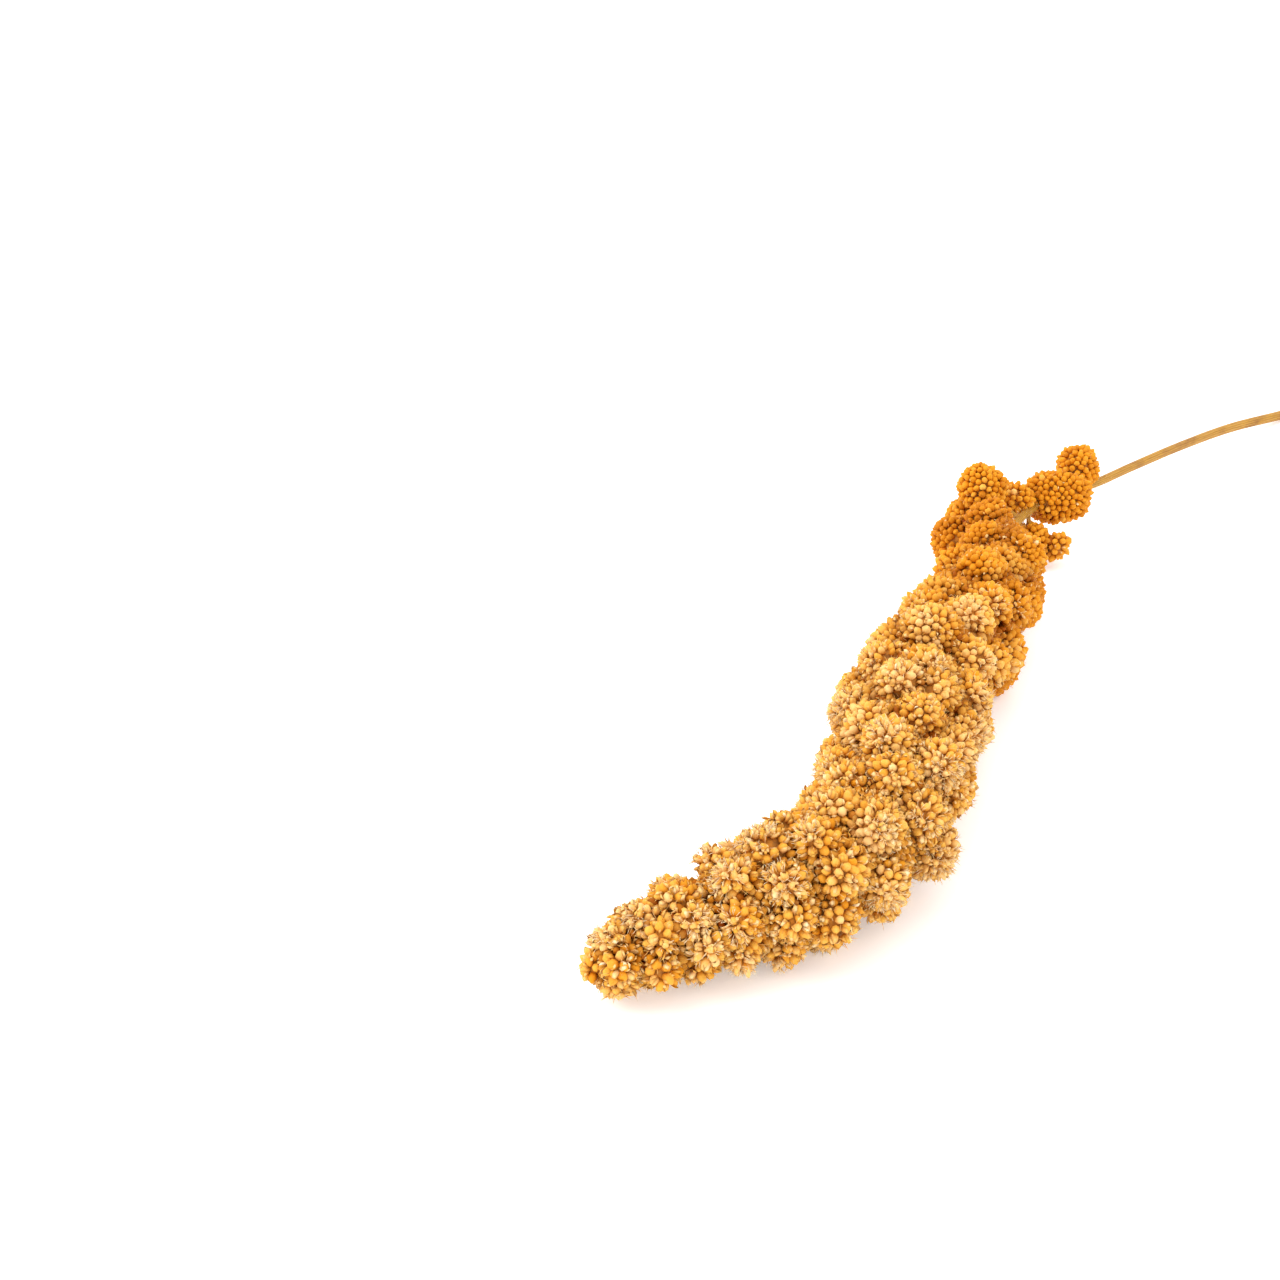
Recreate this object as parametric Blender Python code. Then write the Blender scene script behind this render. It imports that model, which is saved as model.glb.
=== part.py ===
"""Head of foxtail millet, cut and dried, lying on a flat surface.

A straw stem runs on inside the head as its rachis, with a short branchlet to each loose cluster near the
base. The seed head is a close mass of lobes round the rachis, and every lobe is an egg covered with seeds
larger than life, as relief. +X runs from the tip of the head to the cut end of the stem and +Z is up. The
origin is the middle of the footprint, on the surface that the head lies on. Sizes are in metres.
"""

import math
import random
from typing import NamedTuple

import bmesh
import bpy
import numpy as np
from mathutils import Matrix, Vector

OBJECT_NAME = "foxtail_millet_head"

# Middle line of rachis and stem, from the tip of the head to the cut end of the stem: along, across, up
MIDDLE_LINE = (
    (-0.1828, -0.0025, 0.0066),
    (-0.1758, -0.0065, 0.0083),
    (-0.1638, -0.0130, 0.0103),
    (-0.1500, -0.0203, 0.0122),
    (-0.1350, -0.0250, 0.0142),
    (-0.1190, -0.0225, 0.0152),
    (-0.0985, -0.0135, 0.0160),
    (-0.0710, -0.0055, 0.0163),
    (-0.0430, 0.0000, 0.0160),
    (-0.0160, 0.0080, 0.0155),
    (0.0080, 0.0155, 0.0150),
    (0.0340, 0.0180, 0.0140),
    (0.0585, 0.0145, 0.0120),
    (0.0795, 0.0130, 0.0105),
    (0.1120, 0.0105, 0.0080),
    (0.1465, 0.0070, 0.0048),
    (0.1760, 0.0010, 0.0020),
    (0.1840, -0.0010, 0.0015),
)
LINE_STEP = 0.0005

# Half thickness of rachis and stem, at distances from the tip of the head
STEM_HALF = ((0.010, 0.0007), (0.200, 0.0010), (0.260, 0.0012), (0.380, 0.0015))
RACHIS_START = 0.012
STEM_POINT_STEP = 0.006
STEM_SIDE_LEVEL = 2
BRANCHLET_HALF = 0.0006

# Room that the seeds leave round the stem, and how far along the line they need it
CLEARANCE = 0.0003
STEM_ROOM_END = 0.270
CAP_WELD = 0.000001

# How far the lobes reach from the middle line, and half their width, at distances from the tip
GIRTH = (
    (0.000, 0.0050),
    (0.008, 0.0074),
    (0.022, 0.0104),
    (0.038, 0.0128),
    (0.053, 0.0140),
    (0.069, 0.0152),
    (0.091, 0.0160),
    (0.120, 0.0159),
    (0.148, 0.0142),
    (0.176, 0.0126),
    (0.202, 0.0115),
)
LOBE_HALF = (
    (0.000, 0.0032),
    (0.020, 0.0041),
    (0.050, 0.0053),
    (0.090, 0.0061),
    (0.115, 0.0068),
    (0.200, 0.0074),
)

# Where the lobe at the tip and the rings of lobes stand, and the room for each lobe as a share of its half
# width: along the line, round it, and how deep below the girth that round is measured
TIP_LOBE, FIRST_RING, LAST_RING = 0.0040, 0.0070, 0.184
RING_STEP, RING_SPREAD, RING_DEPTH = 1.80, 1.74, 0.6

# How far each lobe leans to the tip, its half length and half width against its size, and its reach outwards
LOBE_LEAN = 0.8
LOBE_LONG, LOBE_BROAD = 1.30, 0.97
LOBE_RISE = math.hypot(LOBE_LONG, LOBE_BROAD * LOBE_LEAN) / math.hypot(1, LOBE_LEAN)

# How much the lobes differ: in size, and as shares of their size in and out, along the line and round it
LAYOUT_SEED = 19
SIZE_RANGE = (0.88, 1.14)
REACH_RANGE = (-0.22, 0.10)
PLACE_RANGE = (-0.35, 0.35)
TURN_RANGE = (-0.16, 0.16)

# The smaller core that the lobes stand out of, as a share of the girth
CORE_SHARE = 0.66
CORE_START, CORE_END, CORE_STEP = 0.008, 0.192, 0.006

# How far apart the corners of a lobe's faces are, for lobes of each half width, and its share in a cluster
CORNER_PITCH = ((0.0030, 0.0024), (0.0078, 0.0040))
CLUSTER_SHARE = 0.56

# How far a seed's top stands out of the lobe's egg and the corners between lie in it, against the usual pitch
SEED_RISE, SEED_SINK = 0.15, 0.07
GOLDEN_ANGLE = math.pi * (3 - math.sqrt(5))
TRIANGLE_CELL = math.sqrt(0.75)

# A lobe that comes this near the surface below settles on it, and dips so far through that it is cut flat
SETTLE = 0.0012
PRESS = 0.0010
SURFACE_LENGTH, SURFACE_WIDTH, SURFACE_DEPTH = 0.5, 0.2, 0.02

GOLD = (0.68, 0.36, 0.085, 1.0)
AMBER = (0.60, 0.26, 0.045, 1.0)
STRAW = (0.58, 0.37, 0.15, 1.0)
SEED_ROUGHNESS, STRAW_ROUGHNESS = 0.5, 0.55


class Lobe(NamedTuple):
    """An egg-shaped lobe: its middle, the direction of its long axis, half its length and half its width."""

    centre: tuple
    lean: tuple
    half_long: float
    half_broad: float


# Lobes at the foot of the seed head that lie lower and wider than the rest
FOOT_LOBES = (
    Lobe((-0.0455, -0.0051, 0.0077), (0.3, 0.3, 0.9), 0.0088, 0.0080),
    Lobe((-0.0282, 0.0043, 0.0070), (0.6, -0.8, 0.2), 0.0086, 0.0080),
    Lobe((-0.0054, 0.0057, 0.0062), (0.2, 0.3, 0.9), 0.0072, 0.0064),
    Lobe((0.0060, 0.0135, 0.0090), (0.6, 0.6, 0.5), 0.0066, 0.0058),
    Lobe((0.0005, 0.0175, 0.0180), (-0.3, 0.0, 0.9), 0.0070, 0.0064),
    Lobe((-0.0010, 0.0250, 0.0125), (0.2, 0.6, 0.2), 0.0072, 0.0066),
)

# Loose clusters near the base, each of one or two lobes on a branchlet of its own
CLUSTERS = {
    "basal_cluster_1": (
        Lobe((0.0351, 0.0156, 0.0152), (0.6, -0.8, 0.0), 0.0094, 0.0071),
        Lobe((0.0243, 0.0215, 0.0163), (-0.2, 0.4, 0.8), 0.0048, 0.0044),
    ),
    "basal_cluster_2": (
        Lobe((0.0150, 0.0271, 0.0210), (0.1, 0.5, 0.8), 0.0068, 0.0062),
        Lobe((0.0165, 0.0305, 0.0108), (0.2, 0.8, 0.0), 0.0070, 0.0064),
    ),
    "basal_cluster_3": (Lobe((0.0550, 0.0188, 0.0165), (0.6, 0.2, 0.4), 0.0066, 0.0059),),
    "basal_cluster_4": (
        Lobe((0.0230, 0.0161, 0.0064), (0.2, -0.6, -0.2), 0.0062, 0.0054),
        Lobe((0.0255, 0.0100, 0.0060), (0.6, -0.3, 0.2), 0.0040, 0.0036),
    ),
}


def read(table, distance):
    """The value of a table of (distance, value) pairs at this distance, by straight lines between them."""
    distances, values = zip(*table)
    return float(np.interp(distance, distances, values))


def smooth_line(points, step):
    """Points about this step apart on a smooth curve through the given ones, and their distances along it."""
    knots = np.array(points)
    spans = np.linalg.norm(np.diff(knots, axis=0), axis=1)
    reach = np.concatenate([[0.0], np.cumsum(spans)])
    slopes = np.empty_like(knots)
    slopes[1:-1] = (knots[2:] - knots[:-2]) / (reach[2:] - reach[:-2])[:, None]
    slopes[0] = (knots[1] - knots[0]) / spans[0]
    slopes[-1] = (knots[-1] - knots[-2]) / spans[-1]
    runs = []
    for i, span in enumerate(spans):
        t = np.linspace(0, 1, max(round(span / step), 2), endpoint=False)[:, None]
        runs.append(
            (2 * t**3 - 3 * t**2 + 1) * knots[i]
            + (t**3 - 2 * t**2 + t) * span * slopes[i]
            + (3 * t**2 - 2 * t**3) * knots[i + 1]
            + (t**3 - t**2) * span * slopes[i + 1]
        )
    line = np.concatenate([*runs, knots[-1:]])
    gaps = np.linalg.norm(np.diff(line, axis=0), axis=1)
    return np.concatenate([[0.0], np.cumsum(gaps)]), line


DISTANCES, LINE = smooth_line(MIDDLE_LINE, LINE_STEP)


def on_line(distance):
    """The point of the middle line at this distance from the tip."""
    return Vector([np.interp(distance, DISTANCES, LINE[:, axis]) for axis in range(3)])


def along_line(distance):
    """The direction of the middle line there, away from the tip."""
    return (on_line(distance + LINE_STEP) - on_line(distance - LINE_STEP)).normalized()


def underside(lobe):
    """How far a lobe reaches below its middle."""
    up = Vector(lobe.lean).normalized().z
    return math.hypot(lobe.half_long * up, lobe.half_broad * math.sqrt(1 - up * up))


def lobe_layout():
    """Lobes round the rachis that lean out and towards the tip, and one at the tip itself.

    They stand in rings, and each ring's lobes are between those of the ring before.
    """
    draw = random.Random(LAYOUT_SEED)
    size = read(LOBE_HALF, 0.0)
    lobes = [Lobe(on_line(TIP_LOBE), -along_line(TIP_LOBE), size * LOBE_LONG, size * LOBE_BROAD)]
    distance, turn = FIRST_RING, draw.uniform(0, 2 * math.pi)
    while distance < LAST_RING:
        size, girth = read(LOBE_HALF, distance), read(GIRTH, distance)
        count = max(round(2 * math.pi * (girth - RING_DEPTH * size) / (RING_SPREAD * size)), 3)
        for number in range(count):
            half = size * draw.uniform(*SIZE_RANGE)
            reach = girth - half * LOBE_RISE + size * draw.uniform(*REACH_RANGE)
            place = distance + size * draw.uniform(*PLACE_RANGE)
            angle = turn + 2 * math.pi * (number + draw.uniform(*TURN_RANGE)) / count
            ahead = along_line(place)
            side = ahead.cross(Vector((0, 0, 1))).normalized()
            out = side * math.cos(angle) + side.cross(ahead) * math.sin(angle)
            lobe = Lobe(
                centre=on_line(place) + out * reach,
                lean=out - ahead * LOBE_LEAN,
                half_long=half * LOBE_LONG,
                half_broad=half * LOBE_BROAD,
            )
            resting = underside(lobe) - PRESS
            if lobe.centre.z < resting + SETTLE:
                lobe.centre.z = resting
            lobes.append(lobe)
        distance += RING_STEP * size
        turn += math.pi / count
    return lobes


def spread_on_sphere(count):
    """Points spread evenly over a unit sphere, along one spiral from pole to pole."""
    numbers = np.arange(count)
    turns = numbers * GOLDEN_ANGLE
    height = 1 - (2 * numbers + 1) / count
    width = np.sqrt(1 - height**2)
    return np.stack([width * np.cos(turns), width * np.sin(turns), height], axis=1)


def add_object(name, mesh, home):
    obj = bpy.data.objects.new(name, mesh)
    home.objects.link(obj)
    return obj


def raise_seeds(shape, usual_pitch):
    """Makes a seed's top of every corner that isn't beside one already, and sinks the corners between."""
    shape.normal_update()
    tops = set()
    for vert in shape.verts:
        beside = {edge.other_vert(vert) for edge in vert.link_edges}
        if beside & tops:
            vert.co -= vert.normal * SEED_SINK * usual_pitch
        else:
            vert.co += vert.normal * SEED_RISE * usual_pitch
            tops.add(vert)


def add_lobe(name, lobe, home, share=1.0):
    """One lobe: the hull of corners spread evenly over its egg at a share of the usual pitch, and its seeds."""
    usual_pitch = read(CORNER_PITCH, lobe.half_broad)
    pitch = usual_pitch * share
    area = 4 * math.pi * lobe.half_broad * (lobe.half_broad + lobe.half_long) / 2
    turned = Vector(lobe.lean).to_track_quat("Z", "Y").to_matrix().to_4x4()
    sized = Matrix.Diagonal((lobe.half_broad, lobe.half_broad, lobe.half_long, 1))
    placed = Matrix.Translation(lobe.centre) @ turned @ sized
    shape = bmesh.new()
    for point in spread_on_sphere(round(area / (pitch**2 * TRIANGLE_CELL))):
        shape.verts.new(point)
    bmesh.ops.convex_hull(shape, input=shape.verts[:])
    bmesh.ops.transform(shape, matrix=placed, verts=shape.verts[:])
    bmesh.ops.recalc_face_normals(shape, faces=shape.faces[:])
    raise_seeds(shape, usual_pitch)
    mesh = bpy.data.meshes.new(name)
    shape.to_mesh(mesh)
    shape.free()
    return add_object(name, mesh, home)


def as_mesh(obj, home):
    """The evaluated object as a plain mesh object of the same name and place."""
    graph = bpy.context.evaluated_depsgraph_get()
    mesh = bpy.data.meshes.new_from_object(obj.evaluated_get(graph))
    name, place = obj.name, obj.matrix_world.copy()
    bpy.data.objects.remove(obj)
    made = add_object(name, mesh, home)
    made.matrix_world = place
    return made


def weld_caps(mesh):
    """Joins a tube's caps to its sides."""
    shape = bmesh.new()
    shape.from_mesh(mesh)
    bmesh.ops.remove_doubles(shape, verts=shape.verts[:], dist=CAP_WELD)
    bmesh.ops.recalc_face_normals(shape, faces=shape.faces[:])
    shape.to_mesh(mesh)
    shape.free()


def add_tube(name, points, halves, home):
    """A closed tube through the points, with its own half thickness at each."""
    curve = bpy.data.curves.new(name, "CURVE")
    curve.dimensions = "3D"
    curve.bevel_depth = 1.0
    curve.bevel_resolution = STEM_SIDE_LEVEL
    curve.use_fill_caps = True
    spline = curve.splines.new("POLY")
    spline.points.add(len(points) - 1)
    for knot, place, half in zip(spline.points, points, halves):
        knot.co = (*place, 1.0)
        knot.radius = half
    tube = as_mesh(add_object(name, curve, home), home)
    weld_caps(tube.data)
    return tube


def line_tube(name, start, end, step, half_at, home):
    """A tube along the middle line between two distances from the tip."""
    places = np.linspace(start, end, round((end - start) / step) + 1)
    return add_tube(name, [on_line(s) for s in places], [half_at(s) for s in places], home)


def branchlet(name, lobes, extra, home):
    """A branchlet from the nearest point of the rachis into the heart of a cluster's first lobe."""
    heart = Vector(lobes[0].centre)
    nearest = int(np.argmin(np.linalg.norm(LINE - np.array(heart), axis=1)))
    root = Vector(LINE[nearest])
    way = (heart - root).normalized()
    return add_tube(name, [root, heart + way * extra], [BRANCHLET_HALF + extra] * 2, home)


def connected(shape):
    """The vertices of each connected surface, the largest surface first."""
    left, bodies = set(shape.verts), []
    while left:
        body, front = set(), [left.pop()]
        while front:
            vert = front.pop()
            body.add(vert)
            beside = {edge.other_vert(vert) for edge in vert.link_edges} & left
            left -= beside
            front.extend(beside)
        bodies.append(body)
    return sorted(bodies, key=len, reverse=True)


def keep_one_body(mesh):
    """Drops loose scraps and the skins of sealed hollows: all but the largest connected surface."""
    shape = bmesh.new()
    shape.from_mesh(mesh)
    dropped = [vert for body in connected(shape)[1:] for vert in body]
    bmesh.ops.delete(shape, geom=dropped, context="VERTS")
    shape.to_mesh(mesh)
    shape.free()


def boolean(obj, operation, others, home):
    """The object with a collection joined to it or cut from it, as a plain mesh object.

    The solver is Manifold, because the exact one leaves open edges where lobes cross at shallow angles.
    """
    modifier = obj.modifiers.new(operation.lower(), "BOOLEAN")
    modifier.operation = operation
    modifier.solver = "MANIFOLD"
    modifier.operand_type = "COLLECTION"
    modifier.collection = others
    made = as_mesh(obj, home)
    keep_one_body(made.data)
    return made


def helper_collection(name, parent):
    made = bpy.data.collections.new(name)
    parent.children.link(made)
    made.hide_render = True
    return made


def join(first, repeats, home):
    """The first object with the repeats joined to it. The repeats and their collection are removed."""
    whole = boolean(first, "UNION", repeats, home) if repeats.objects else first
    for obj in list(repeats.objects):
        bpy.data.objects.remove(obj)
    bpy.data.collections.remove(repeats)
    return whole


def fuse_seeds(name, first, repeats, cutters, home):
    """A seed node: its lobes joined, and cut by the cutters."""
    whole = boolean(join(first, repeats, home), "DIFFERENCE", cutters, home)
    whole.name = name
    return whole


def material(name, colour, roughness):
    made = bpy.data.materials.new(name)
    made.use_nodes = True
    shader = made.node_tree.nodes["Principled BSDF"]
    shader.inputs["Base Color"].default_value = colour
    shader.inputs["Roughness"].default_value = roughness
    shader.inputs["Metallic"].default_value = 0.0
    return made


def clear_scene():
    for obj in list(bpy.data.objects):
        bpy.data.objects.remove(obj)


def build_stem(home):
    """Stem and rachis in one, with the branchlets fused to it."""
    core = line_tube(
        "stem_core", RACHIS_START, DISTANCES[-1], STEM_POINT_STEP, lambda s: read(STEM_HALF, s), home
    )
    twigs = helper_collection("branchlets", home)
    for name, lobes in CLUSTERS.items():
        branchlet(name + "_branchlet", lobes, 0.0, twigs)
    stem = join(core, twigs, home)
    stem.name = "stem"
    stem.data.shade_smooth()
    return stem


def add_surface_below(home):
    """The block whose top is the surface that the head lies on."""
    bpy.ops.mesh.primitive_cube_add(size=1)
    ground = bpy.context.object
    ground.name = "surface_below"
    ground.scale = (SURFACE_LENGTH, SURFACE_WIDTH, SURFACE_DEPTH)
    ground.location = (0, 0, -SURFACE_DEPTH / 2)
    for old in list(ground.users_collection):
        old.objects.unlink(ground)
    home.objects.link(ground)


def build_cutters(home):
    """What is cut from every seed node: the surface below, and the room for the stem and its branchlets."""
    cutters = helper_collection("cutters", home)
    add_surface_below(cutters)
    line_tube(
        "stem_room",
        RACHIS_START - CLEARANCE,
        STEM_ROOM_END,
        STEM_POINT_STEP,
        lambda s: read(STEM_HALF, s) + CLEARANCE,
        cutters,
    )
    for name, lobes in CLUSTERS.items():
        branchlet(name + "_room", lobes, CLEARANCE, cutters)
    for obj in cutters.objects:
        obj.hide_render = True
        obj.display_type = "WIRE"
    return cutters


def build_seed_head(home, cutters):
    """The close mass of lobes on their smaller core."""
    core = line_tube("core", CORE_START, CORE_END, CORE_STEP, lambda s: CORE_SHARE * read(GIRTH, s), home)
    repeats = helper_collection("lobes", home)
    for number, lobe in enumerate([*lobe_layout(), *FOOT_LOBES]):
        add_lobe(f"lobe_{number}", lobe, repeats)
    return fuse_seeds("seed_head", core, repeats, cutters, home)


def build_cluster(name, lobes, home, cutters):
    """One loose cluster near the base."""
    first = add_lobe(name + "_first", lobes[0], home, CLUSTER_SHARE)
    repeats = helper_collection(name + "_lobes", home)
    for number, lobe in enumerate(lobes[1:]):
        add_lobe(f"{name}_lobe_{number}", lobe, repeats, CLUSTER_SHARE)
    return fuse_seeds(name, first, repeats, cutters, home)


def main():
    clear_scene()
    home = bpy.data.collections.new(OBJECT_NAME)
    bpy.context.scene.collection.children.link(home)
    cutters = build_cutters(bpy.context.scene.collection)
    straw = material("straw", STRAW, STRAW_ROUGHNESS)
    gold = material("gold_seeds", GOLD, SEED_ROUGHNESS)
    amber = material("amber_seeds", AMBER, SEED_ROUGHNESS)
    build_stem(home).data.materials.append(straw)
    build_seed_head(home, cutters).data.materials.append(gold)
    for name, lobes in CLUSTERS.items():
        build_cluster(name, lobes, home, cutters).data.materials.append(amber)


main()
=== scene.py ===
"""Looks of a dried foxtail millet head: its seeds, papery scales, bristles and ridged straw stem.

Every piece is a small shape worked out with numpy and set at many places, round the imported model. The
places follow the same rule as the model's own lobes, so each piece keeps the form of the solid that it stands
for. Sizes are in metres, +X runs from the tip of the head to the cut end of the stem, and +Z is up.
"""

import math
import random
from typing import NamedTuple

import bpy
import numpy as np
from bpy.props import FloatProperty, FloatVectorProperty, IntProperty, PointerProperty
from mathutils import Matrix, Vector


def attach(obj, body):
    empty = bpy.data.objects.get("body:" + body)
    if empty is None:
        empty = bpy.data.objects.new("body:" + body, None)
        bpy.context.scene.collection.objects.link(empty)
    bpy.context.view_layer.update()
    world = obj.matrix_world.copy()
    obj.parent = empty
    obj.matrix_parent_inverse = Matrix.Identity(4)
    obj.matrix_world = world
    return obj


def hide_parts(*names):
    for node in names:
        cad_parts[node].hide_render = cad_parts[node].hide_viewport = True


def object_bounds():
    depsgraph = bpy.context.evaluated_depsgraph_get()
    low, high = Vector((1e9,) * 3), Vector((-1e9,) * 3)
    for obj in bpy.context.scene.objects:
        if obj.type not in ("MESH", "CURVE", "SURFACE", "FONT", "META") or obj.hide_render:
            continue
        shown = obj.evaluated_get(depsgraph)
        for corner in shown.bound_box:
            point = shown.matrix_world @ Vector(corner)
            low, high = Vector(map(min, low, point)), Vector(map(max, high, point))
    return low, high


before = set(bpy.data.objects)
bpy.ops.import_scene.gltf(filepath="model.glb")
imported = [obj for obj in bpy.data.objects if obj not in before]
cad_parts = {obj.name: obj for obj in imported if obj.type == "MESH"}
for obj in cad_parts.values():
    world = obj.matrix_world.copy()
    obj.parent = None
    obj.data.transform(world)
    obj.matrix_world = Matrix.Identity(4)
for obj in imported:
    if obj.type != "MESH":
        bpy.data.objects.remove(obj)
CAD_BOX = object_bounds()

bl_info = {
    "name": "Foxtail millet head",
    "version": (1, 0, 0),
    "blender": (4, 5, 0),
    "location": "3D View > Sidebar > Millet",
    "description": "Builds a dried head of foxtail millet with its seeds, scales, bristles and straw",
    "category": "Object",
}

BODY = "root"
HEAD, STEM = "seed_head", "stem"

# From here to the loose clusters, the sizes are the model's own

# Middle line of rachis and stem, from the tip of the head to the cut end of the stem: along, across, up
MIDDLE_LINE = (
    (-0.1828, -0.0025, 0.0066),
    (-0.1758, -0.0065, 0.0083),
    (-0.1638, -0.0130, 0.0103),
    (-0.1500, -0.0203, 0.0122),
    (-0.1350, -0.0250, 0.0142),
    (-0.1190, -0.0225, 0.0152),
    (-0.0985, -0.0135, 0.0160),
    (-0.0710, -0.0055, 0.0163),
    (-0.0430, 0.0000, 0.0160),
    (-0.0160, 0.0080, 0.0155),
    (0.0080, 0.0155, 0.0150),
    (0.0340, 0.0180, 0.0140),
    (0.0585, 0.0145, 0.0120),
    (0.0795, 0.0130, 0.0105),
    (0.1120, 0.0105, 0.0080),
    (0.1465, 0.0070, 0.0048),
    (0.1760, 0.0010, 0.0020),
    (0.1840, -0.0010, 0.0015),
)

# The middle line's points stand about a step apart, and a coarse search looks at every fourth of them
LINE_STEP, SEARCH_SKIP = 0.0005, 4

# Half thickness of rachis and stem, at distances from the tip of the head
STEM_HALF = ((0.010, 0.0007), (0.200, 0.0010), (0.260, 0.0012), (0.380, 0.0015))
RACHIS_START = 0.012
BRANCHLET_HALF = 0.0006

# How far the lobes reach from the middle line, and half their width, at distances from the tip
GIRTH = (
    (0.000, 0.0050),
    (0.008, 0.0074),
    (0.022, 0.0104),
    (0.038, 0.0128),
    (0.053, 0.0140),
    (0.069, 0.0152),
    (0.091, 0.0160),
    (0.120, 0.0159),
    (0.148, 0.0142),
    (0.176, 0.0126),
    (0.202, 0.0115),
)
LOBE_HALF = (
    (0.000, 0.0032),
    (0.020, 0.0041),
    (0.050, 0.0053),
    (0.090, 0.0061),
    (0.115, 0.0068),
    (0.200, 0.0074),
)

# Where the lobe at the tip and the rings of lobes stand, and the room for each lobe as a share of its half
# width: along the line, round it, and how deep below the girth that round is measured
TIP_LOBE, FIRST_RING, LAST_RING = 0.0040, 0.0070, 0.184
RING_STEP, RING_SPREAD, RING_DEPTH = 1.80, 1.74, 0.6

# How far each lobe leans to the tip, its half length and half width against its size, and its reach outwards
LOBE_LEAN = 0.8
LOBE_LONG, LOBE_BROAD = 1.30, 0.97
LOBE_RISE = math.hypot(LOBE_LONG, LOBE_BROAD * LOBE_LEAN) / math.hypot(1, LOBE_LEAN)

# How much the lobes differ: in size, and as shares of their size in and out, along the line and round it
LAYOUT_SEED = 19
SIZE_RANGE = (0.88, 1.14)
REACH_RANGE = (-0.22, 0.10)
PLACE_RANGE = (-0.35, 0.35)
TURN_RANGE = (-0.16, 0.16)

# A lobe that comes this near the surface below settles on it, and dips so far through that it is cut flat
SETTLE = 0.0012
PRESS = 0.0010

# The smaller core that the lobes stand out of, as a share of the girth
CORE_SHARE = 0.66
CORE_START, CORE_END, CORE_STEP = 0.008, 0.192, 0.006


class Lobe(NamedTuple):
    """An egg-shaped lobe: its middle, the direction of its long axis, half its length and half its width."""

    centre: tuple
    lean: tuple
    half_long: float
    half_broad: float


# Lobes at the foot of the seed head that lie lower and wider than the rest
FOOT_LOBES = (
    Lobe((-0.0455, -0.0051, 0.0077), (0.3, 0.3, 0.9), 0.0088, 0.0080),
    Lobe((-0.0282, 0.0043, 0.0070), (0.6, -0.8, 0.2), 0.0086, 0.0080),
    Lobe((-0.0054, 0.0057, 0.0062), (0.2, 0.3, 0.9), 0.0072, 0.0064),
    Lobe((0.0060, 0.0135, 0.0090), (0.6, 0.6, 0.5), 0.0066, 0.0058),
    Lobe((0.0005, 0.0175, 0.0180), (-0.3, 0.0, 0.9), 0.0070, 0.0064),
    Lobe((-0.0010, 0.0250, 0.0125), (0.2, 0.6, 0.2), 0.0072, 0.0066),
)

# Loose clusters near the base, each of one or two lobes on a branchlet of its own
CLUSTERS = {
    "basal_cluster_1": (
        Lobe((0.0351, 0.0156, 0.0152), (0.6, -0.8, 0.0), 0.0094, 0.0071),
        Lobe((0.0243, 0.0215, 0.0163), (-0.2, 0.4, 0.8), 0.0048, 0.0044),
    ),
    "basal_cluster_2": (
        Lobe((0.0150, 0.0271, 0.0210), (0.1, 0.5, 0.8), 0.0068, 0.0062),
        Lobe((0.0165, 0.0305, 0.0108), (0.2, 0.8, 0.0), 0.0070, 0.0064),
    ),
    "basal_cluster_3": (Lobe((0.0550, 0.0188, 0.0165), (0.6, 0.2, 0.4), 0.0066, 0.0059),),
    "basal_cluster_4": (
        Lobe((0.0230, 0.0161, 0.0064), (0.2, -0.6, -0.2), 0.0062, 0.0054),
        Lobe((0.0255, 0.0100, 0.0060), (0.6, -0.3, 0.2), 0.0040, 0.0036),
    ),
}

# The surface that wraps the lobes is filled in between them over about the blend. Seeds on it stand
# unevenly, by patches a wave wide and each by its own share of that.
BLEND = 0.0004
UNEVEN_WAVE, UNEVEN_HEIGHT, UNEVEN_OWN = 0.0058, 0.00040, 0.25

# How seeds are spread on the wrap. Each takes up a cell of a pattern of triangles, and the turn from one to
# the next on a lobe is the golden angle. The jitter, the reach, the least distances and the least height are
# shares of the pitch, and the push is one of what a pair lacks.
GOLDEN_ANGLE = math.pi * (3 - math.sqrt(5))
TRIANGLE_CELL = math.sqrt(0.75)
OWN_MARGIN = 0.00020
START_JITTER = 0.35
EVEN_ROUNDS = 7
EVEN_REACH, EVEN_PUSH = 1.22, 0.28
LEAST_START, LEAST_SPACING, LEAST_FILL = 0.50, 0.74, 0.80
FILL_ROUNDS = 2
LEAST_HEIGHT = 0.47

# Seeds deeper in a crease than this openness are left out. The others get painted shade in their colour
# within a share of their lobe's half width from a second lobe, down to a shade that changes along the head. A
# lobe that stands alone counts a second one far off.
CREASE = 0.34
CREASE_REACH = 0.65
FAR_OFF = 1.0

# Every point is held between a hair above the floor and a little above the model's top
FLOOR_GAP = 0.00004
CEILING = CAD_BOX[1][2] + 0.0008

# What changes along the head, as distances from the tip and values there
FOOT_PITCH_SHARE = ((0.0, 0.0), (0.18, 1.0))
CREASE_SHADE = ((0.04, 0.84), (0.09, 0.62))
SEED_PLUMPER = ((0.09, 1.0), (0.15, 1.07))
SEED_LIFT = ((0.0, 0.08), (0.07, 0.07), (0.115, 0.10), (0.145, -0.11), (0.20, -0.34))
# Seeds paler near a lobe's top: painted light on the lobes' tops
CROWN_PAINTED_LIGHT = ((0.12, 0.34), (0.18, 0.08))
LOOSE_FLORETS = ((0.0, 0.6), (0.10, 0.6), (0.15, 0.35), (0.18, 0.05))
CHAFF_SHARE = ((0.0, 1.5), (0.05, 1.3), (0.09, 1.1), (0.11, 0.8), (0.135, 0.3), (0.20, 0.08))
SCALE_SIZE = ((0.0, 1.05), (0.06, 1.0), (0.12, 0.88), (0.20, 0.75))
BRISTLE_SHARE = ((0.09, 1.0), (0.15, 0.3))
SEED_BANDS = {"tip": (0.0, 0.065), "front": (0.065, 0.110), "middle": (0.110, 0.150), "foot": (0.150, 1.0)}
LAST_ROSETTE = 0.150

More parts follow.
